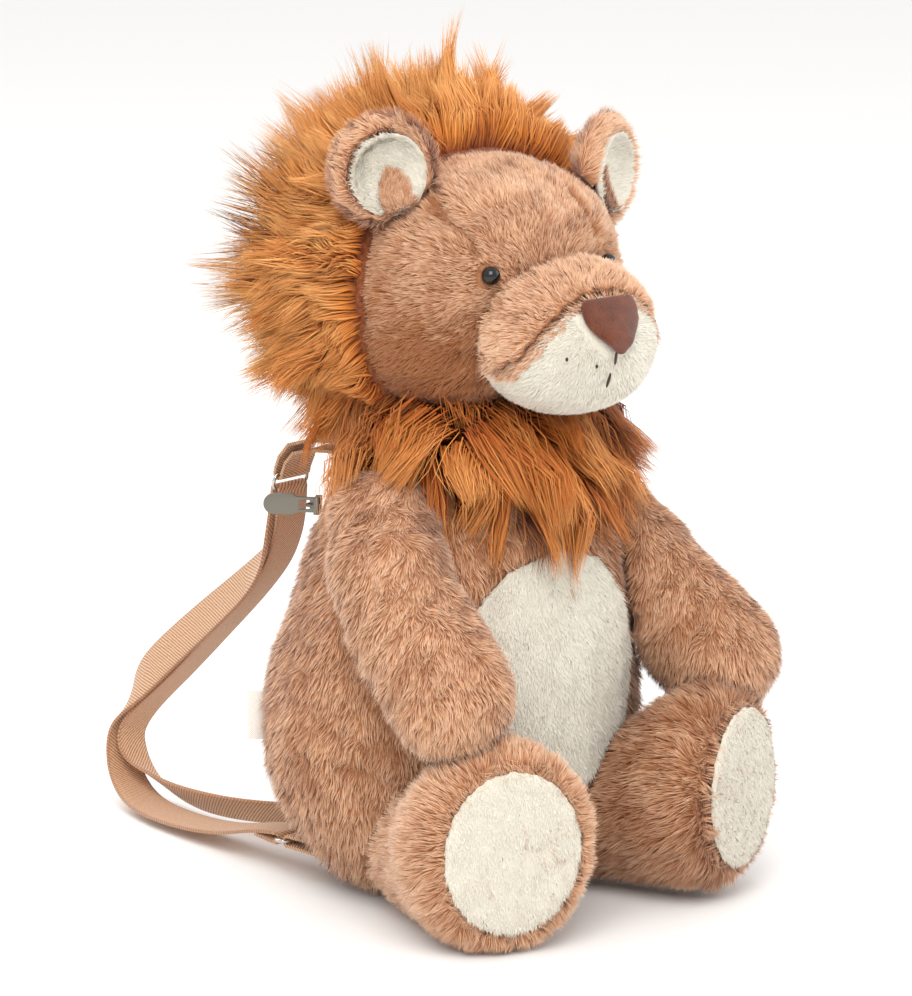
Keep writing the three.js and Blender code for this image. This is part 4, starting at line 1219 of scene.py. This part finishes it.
@dataclass
class Webbing:
    """A band of webbing that follows its solid, with rolled edges and a map across and along it."""

    node: str
    flat_mm: tuple[float, float]
    finish: Finish = WEBBING_TWILL
    slot: str = "webbing"
    hold: Hold = Hold.FOLDED
    rests_on: str = "torso"

    def rings(self, form: bmesh.types.BMesh) -> list[list[bmesh.types.BMVert]]:
        """The band's four-cornered rings from one end to the other, with their corners in step.

        Args:
            form: The solid's mesh.

        Returns:
            The rings, or an empty list where the solid isn't a plain band.
        """
        for end in [v for v in form.verts if len(v.link_edges) == 4]:
            seen = {end}
            layer = [e.other_vert(end) for e in end.link_edges]
            found = []
            while len(layer) == 4:
                found.append(layer)
                seen.update(layer)
                layer = list({e.other_vert(v) for v in layer for e in v.link_edges} - seen)
            if len(found) > 8 and len(layer) == 1:
                return self.in_step(found)
        return []

    def in_step(self, found: list[list[bmesh.types.BMVert]]) -> list[list[bmesh.types.BMVert]]:
        """Orders each ring's corners like the ring before it, the short side first.

        Args:
            found: Rings with their corners in any order.

        Returns:
            The ordered rings.
        """
        first = min(
            itertools.permutations(found[0]),
            key=lambda c: sum((c[i].co - c[i - 1].co).length for i in range(4)) + (c[0].co - c[1].co).length,
        )
        rings = [list(first)]
        for layer in found[1:]:
            before = rings[-1]
            centre = sum((v.co for v in before), Vector()) / 4
            now = sum((v.co for v in layer), Vector()) / 4
            best = min(
                itertools.permutations(layer),
                key=lambda c: sum(((c[i].co - now) - (before[i].co - centre)).length_squared for i in range(4)),
            )
            rings.append(list(best))
        return rings

    def mapped(self, form: bmesh.types.BMesh, rings: list[list[bmesh.types.BMVert]]) -> None:
        """Turns the band's triangles to squares, maps it and keeps its long edges sharp.

        Args:
            form: The band's mesh, changed in place.
            rings: Its rings.
        """
        place: dict[bmesh.types.BMVert, tuple[float, float]] = {}
        corner: dict[bmesh.types.BMVert, int] = {}
        run = 0.0
        for index, ring in enumerate(rings):
            centre = sum((v.co for v in ring), Vector()) / 4
            if index:
                run += (centre - last).length
            last = centre
            half = (ring[0].co - ring[3].co).length / 2
            for i, vert in enumerate(ring):
                place[vert] = (half if i < 2 else -half, run)
                corner[vert] = i
        across = [e for e in form.edges if all(v in corner for v in e.verts)]
        slanted = []
        for edge in across:
            one, two = (corner[v] for v in edge.verts)
            same_ring = place[edge.verts[0]][1] == place[edge.verts[1]][1]
            if one != two and not same_ring:
                slanted.append(edge)
        bmesh.ops.dissolve_edges(form, edges=slanted, use_verts=False)
        crease = form.edges.layers.float.new("crease_edge")
        for edge in form.edges:
            ends = [corner.get(v) for v in edge.verts]
            if None in ends or ends[0] == ends[1]:
                edge[crease] = 1.0
        for ring in (rings[0], rings[-1]):
            for edge in {e for v in ring for e in v.link_edges if e.other_vert(v) in ring}:
                edge[crease] = 1.0
        layer = form.loops.layers.uv.new("OFBake")
        for face in form.faces:
            runs = [place[v][1] for v in face.verts if v in place]
            for loop in face.loops:
                loop[layer].uv = place.get(loop.vert, (0.0, runs[0]))

    def build(self) -> None:
        """Builds the band as a smooth copy of its solid with a map along it."""
        form = copy_of(self.node)
        rings = self.rings(form)
        bevel = {"width": 0.5 * MM, "segments": 2, "limit_method": "ANGLE", "angle_limit": 0.9}
        if rings:
            self.mapped(form, rings)
            smooth = {"levels": 2, "render_levels": 2, "uv_smooth": "NONE"}
            mesh = settled(form, self.node + "_form", [("SUBSURF", smooth), ("BEVEL", bevel)])
        else:
            bmesh.ops.join_triangles(
                form, faces=form.faces, angle_face_threshold=0.5, angle_shape_threshold=0.9, cmp_seam=False
            )
            mesh = settled(form, self.node + "_form", [("BEVEL", bevel)])
            layer = mesh.uv_layers.new(name="OFBake")
            for loop in mesh.loops:
                co = mesh.vertices[loop.vertex_index].co
                layer.data[loop.index].uv = (co.x, co.y - co.z)
        band = show(smooth_faces(mesh), self.node + "_band", self.finish)
        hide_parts(self.node)
        LOG.info("%s: %d rings, %d faces", self.node, len(rings), len(mesh.polygons))


@dataclass
class Hardware:
    """Rings of bright nickel, and a slider and pull of satin nickel."""

    rings: tuple[str, ...] = ("top_ring", "bottom_ring_right", "bottom_ring_left")

    def build(self) -> None:
        """Rounds the metal solids and dresses them."""
        for node in self.rings:
            mesh = settled(copy_of(node), node + "_form", [("SUBSURF", {"levels": 2, "render_levels": 2})])
            self.dress(mesh, node, BAG, BRIGHT_NICKEL)
        for node, body in (("zip_slider", BAG), ("zip_pull", PULL)):
            bevel = {"width": 0.35 * MM, "segments": 3, "limit_method": "ANGLE", "angle_limit": 0.6}
            mesh = settled(copy_of(node), node + "_form", [("BEVEL", bevel)])
            self.dress(mesh, node, body)

    def dress(self, mesh: bpy.types.Mesh, node: str, body: str, finish: Finish = SATIN_NICKEL) -> None:
        """Shows a metal piece in place of its solid."""
        piece = show(smooth_faces(mesh), node + "_metal", finish, body)
        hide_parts(node)
        LOG.info("%s: %d faces", node, len(mesh.polygons))


@dataclass
class Zip:
    """The zip's tape and coil across the upper back."""

    pitch_mm: float = 1.5
    tooth_mm: tuple[float, float, float] = (0.45, 0.55, 1.5)

    def build(self) -> None:
        """Dresses the tape, the chain and its coil."""
        for node, finish in (("zip_tape", TAPE_TWILL), ("zip_chain", COIL_NYLON)):
            mesh = settled(copy_of(node), node + "_form")
            layer = mesh.uv_layers.new(name="OFBake")
            for loop in mesh.loops:
                co = mesh.vertices[loop.vertex_index].co
                layer.data[loop.index].uv = (co.x, co.z)
            piece = show(mesh, node + "_fabric", finish)
            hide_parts(node)
        self.coil()

    def coil(self) -> None:
        """Sets a row of small round teeth on the chain, one side after the other."""
        low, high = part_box("zip_chain")
        tree = tree_of("zip_chain")
        form = bmesh.new()
        middle = (low.z + high.z) / 2
        count = int((high.x - low.x) / (self.pitch_mm * MM)) - 1
        size = Matrix.Diagonal((*self.tooth_mm, 1))
        for index in range(1, count):
            x = low.x + index * self.pitch_mm * MM
            side = 0.7 if index % 2 else -0.7
            place, normal = tree.ray_cast((x, 1.0, middle + side * MM), (0, -1, 0))[:2]
            if place is None:
                continue
            turn = normal.to_track_quat("Y", "Z").to_matrix().to_4x4()
            bmesh.ops.create_uvsphere(
                form, u_segments=8, v_segments=6, radius=MM, matrix=Matrix.Translation(place) @ turn @ size
            )
        teeth = show(smooth_faces(settled(form, "coil_form")), "zip_coil", COIL_NYLON)
        LOG.info("zip coil: %d faces", len(teeth.data.polygons))


@dataclass
class Studio:
    """Floor, lights and the camera at the photograph's angle."""

    azimuth: float = -42.0
    elevation: float = 12.0
    distance: float = 3.0
    lens: float = 221.3
    aim: Vector = field(default_factory=lambda: Vector((-0.00272, -0.04581, 0.1914)))

    def build(self) -> None:
        """Sets the camera, the floor, the lights and the world."""
        self.camera()
        self.floor()
        self.area("key_light", (-1.2, -1.3, 1.9), 1.5, 38.0)
        self.area("fill_light", (1.7, -1.2, 1.0), 1.8, 10.0)
        self.area("rim_light", (-0.4, 1.6, 1.8), 1.4, 14.0)
        scene = bpy.context.scene
        world = bpy.data.worlds.new("studio")
        world.use_nodes = True
        background = world.node_tree.nodes["Background"]
        background.inputs["Color"].default_value = (1.0, 1.0, 1.0, 1.0)
        background.inputs["Strength"].default_value = 0.95
        scene.world = world
        scene.view_settings.view_transform = "Standard"

    def camera(self) -> None:
        """Places the camera on a ray from the aim."""
        a, e = math.radians(self.azimuth), math.radians(self.elevation)
        back = Vector((math.sin(a) * math.cos(e), -math.cos(a) * math.cos(e), math.sin(e)))
        data = bpy.data.cameras.new("camera")
        data.lens = self.lens
        data.sensor_width = 36.0
        data.clip_start, data.clip_end = 0.05, 50.0
        camera = bpy.data.objects.new("camera", data)
        camera.location = self.aim + back * self.distance
        camera.rotation_euler = (-back).to_track_quat("-Z", "Y").to_euler()
        bpy.context.scene.collection.objects.link(camera)
        bpy.context.scene.camera = camera

    def floor(self) -> None:
        """A pale seamless floor."""
        form = bmesh.new()
        bmesh.ops.create_grid(form, x_segments=1, y_segments=1, size=6.0)
        mesh = bpy.data.meshes.new("floor")
        form.to_mesh(mesh)
        form.free()
        material, tree, out = blank_material("pale_floor")
        shader = add_node(tree, "ShaderNodeBsdfPrincipled", {"Base Color": linear("f6f5f3"), "Roughness": 0.9})
        tree.links.new(shader.outputs[0], out.inputs["Surface"])
        mesh.materials.append(material)
        floor = bpy.data.objects.new("floor", mesh)
        floor.location.z = -0.3 * MM
        bpy.context.scene.collection.objects.link(floor)

    def area(self, name: str, place: tuple[float, float, float], size: float, power: float) -> None:
        """Adds a square soft light that looks at the toy.

        Args:
            name: The light's name.
            place: Where it hangs.
            size: Its side in metres.
            power: Its power in watts.
        """
        data = bpy.data.lights.new(name, "AREA")
        data.size = size
        data.energy = power
        lamp = bpy.data.objects.new(name, data)
        lamp.location = place
        lamp.rotation_euler = (Vector(place) - self.aim).to_track_quat("Z", "Y").to_euler()
        bpy.context.scene.collection.objects.link(lamp)


# Darts from the inner corner of each ear to the eyes, painted shade in the hollow of the jaw, and a paler forehead,
# in millimetres
FACE_DARTS = (
    Crease(((-43, 356), (-49, 347), (-48, 336), (-44, 325)), depth_mm=5.0, width_mm=2.6),
    Crease(((27, 356), (20, 347), (22, 335), (23, 327)), depth_mm=4.5, width_mm=2.6),
)
FACE_PAINTED_SHADE_AND_TONE = (
    # Painted shade in the hollow of the jaw, on the near and the far cheek
    Tone((-56, -100, 262), 26, -0.75),
    Tone((-70, -78, 268), 32, -0.65),
    Tone((40, -100, 262), 30, -0.6),
    Tone((-10, -105, 350), 50, 0.3),
)


def plush_pieces(centre: Vector, seam_y: float) -> list[PlushPiece]:
    """The stuffed pieces with a short pile.

    Args:
        centre: The middle of the head.
        seam_y: Where the face meets the mane.

    Returns:
        The pieces, from the body outwards.
    """
    face = tuple(centre)

    def outside(place: np.ndarray, normal: np.ndarray) -> np.ndarray:
        away = (place[:, 0] - centre.x) * normal[:, 0] + (place[:, 1] + 0.045) * normal[:, 1]
        low = (place[:, 2] < 0.1) & (normal[:, 2] < 0)
        return ((away > 0) | low).astype(float) * (place[:, 2] > 0.002) * (place[:, 2] < 0.236)

    def face_part(place: np.ndarray, normal: np.ndarray) -> np.ndarray:
        return (place[:, 1] < seam_y + 0.001).astype(float)

    def centre_of(node: str) -> tuple[float, float, float]:
        """The middle of a solid's box."""
        low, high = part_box(node)
        return tuple((low + high) / 2)

    nose = centre_of("nose")
    belly_x, belly_y, belly_z = centre_of("belly_patch")
    belly = (belly_x, belly_y, belly_z + 0.08)

    tan, ivory = Growth.TAN, Growth.IVORY
    pieces = [
        PlushPiece("torso", tan, 98000, down, voxel_mm=4.5, width_mm=0.75, fill=0.7, seed=11, inset_mm=1.0, mask=outside, shade=0.22),
        PlushPiece(
            "head", tan, 84000, AwayFrom(nose, (0, 0.2, -0.2)), seed=12, mask=face_part, inset_mm=3.0,
            length_mm=5.5, creases=FACE_DARTS, tones=FACE_PAINTED_SHADE_AND_TONE, ignore=("mane", "mane_bib", "muzzle_top", "muzzle_chin"),
        ),
        PlushPiece(
            "muzzle_top", tan, 26000, AwayFrom(nose, (0, 0.4, 0)), voxel_mm=1.6, rounds=8, inset_mm=2.0, dent_mm=0.4, seed=13,
            length_mm=5.0, shade=0.45, ignore=("muzzle_chin", "head"),
        ),
        PlushPiece(
            "muzzle_chin", ivory, 32000, AwayFrom(nose, (0, 0.2, -0.2)), voxel_mm=2.0, length_mm=3.0,
            width_mm=0.9, inset_mm=0.8, ignore=("head",), dent_mm=0.0, seed=14,
        ),
        PlushPiece(
            "belly_patch", ivory, 36000, AwayFrom(belly, (0, 0, -0.8)), voxel_mm=1.2, rounds=5, length_mm=3.0,
            width_mm=0.9, inset_mm=0.2, dent_mm=0.0, seed=15,
        ),
    ]
    for i, side in enumerate(("right", "left")):
        sole = centre_of("sole_" + side)
        pieces += [
            # Painted shade: the left arm and leg, on the far side from the key light, get a lower shade than the
            # right ones
            PlushPiece("arm_" + side, tan, 38000, down, seed=30 + i, inset_mm=1.0, shade=0.3 - 0.15 * i),
            PlushPiece(
                "leg_" + side, tan, 46000, AwayFrom(sole, (0, 0.1, -0.1)), dent_mm=0.5, seed=32 + i, inset_mm=2.0, length_mm=7.5,
                ignore=("sole_" + side,), shade=0.25 - 0.35 * i,
            ),
            PlushPiece(
                "ear_" + side, tan, 15000, AwayFrom(face), voxel_mm=2.0, rounds=4, inset_mm=1.0, dent_mm=0.3, seed=34 + i,
                shade=0.7, ignore=("ear_lining_" + side,),
            ),
            PlushPiece(
                "ear_lining_" + side, ivory, 8000, AwayFrom(face), voxel_mm=1.2, rounds=3, length_mm=3.0,
                width_mm=0.9, inset_mm=0.2, dent_mm=0.0, seed=36 + i,
            ),
            PlushPiece(
                "sole_" + side, ivory, 16000, down, voxel_mm=1.4, rounds=5, length_mm=2.4, width_mm=0.9,
                inset_mm=0.2, dent_mm=0.0, seed=38 + i,
            ),
        ]
    return pieces


def main() -> None:
    """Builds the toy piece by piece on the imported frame."""
    logging.basicConfig(level=logging.INFO, format="%(name)s: %(message)s")
    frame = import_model()
    nodes = list(frame["nodes"])
    Studio().build()
    low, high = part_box("head")
    centre = (low + high) / 2
    seam_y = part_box("mane")[0].y + 0.001
    for piece in plush_pieces(centre, seam_y):
        piece.build(nodes)
    Mane(seam_y=seam_y, centre=Vector((centre.x, seam_y + 0.03, centre.z))).build()
    for side in ("right", "left"):
        ear_fold(side).build()
        sole_rim(side).build()
    low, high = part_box("nose")
    cheeks = AwayFrom(tuple((low + high) / 2), (0.0, 0.1, -0.6))
    Overlap("muzzle_rim", "muzzle_chin", edge_of("muzzle_top", 4.0), cheeks, 5000, 6.0, shade=0.3).build()
    Face().build()
    Webbing("shoulder_strap", (20, 854), STRAP_TWILL, hold=Hold.HUNG, rests_on="top_ring").build()
    Webbing("top_tab", (20, 139)).build()
    for side in ("right", "left"):
        Webbing("bottom_tab_" + side, (20, 40)).build()
    Webbing("side_label", (24, 10.5), RIBBON_WEAVE, "ribbon").build()
    Hardware().build()
    Zip().build()


if __name__ == "__main__":
    main()
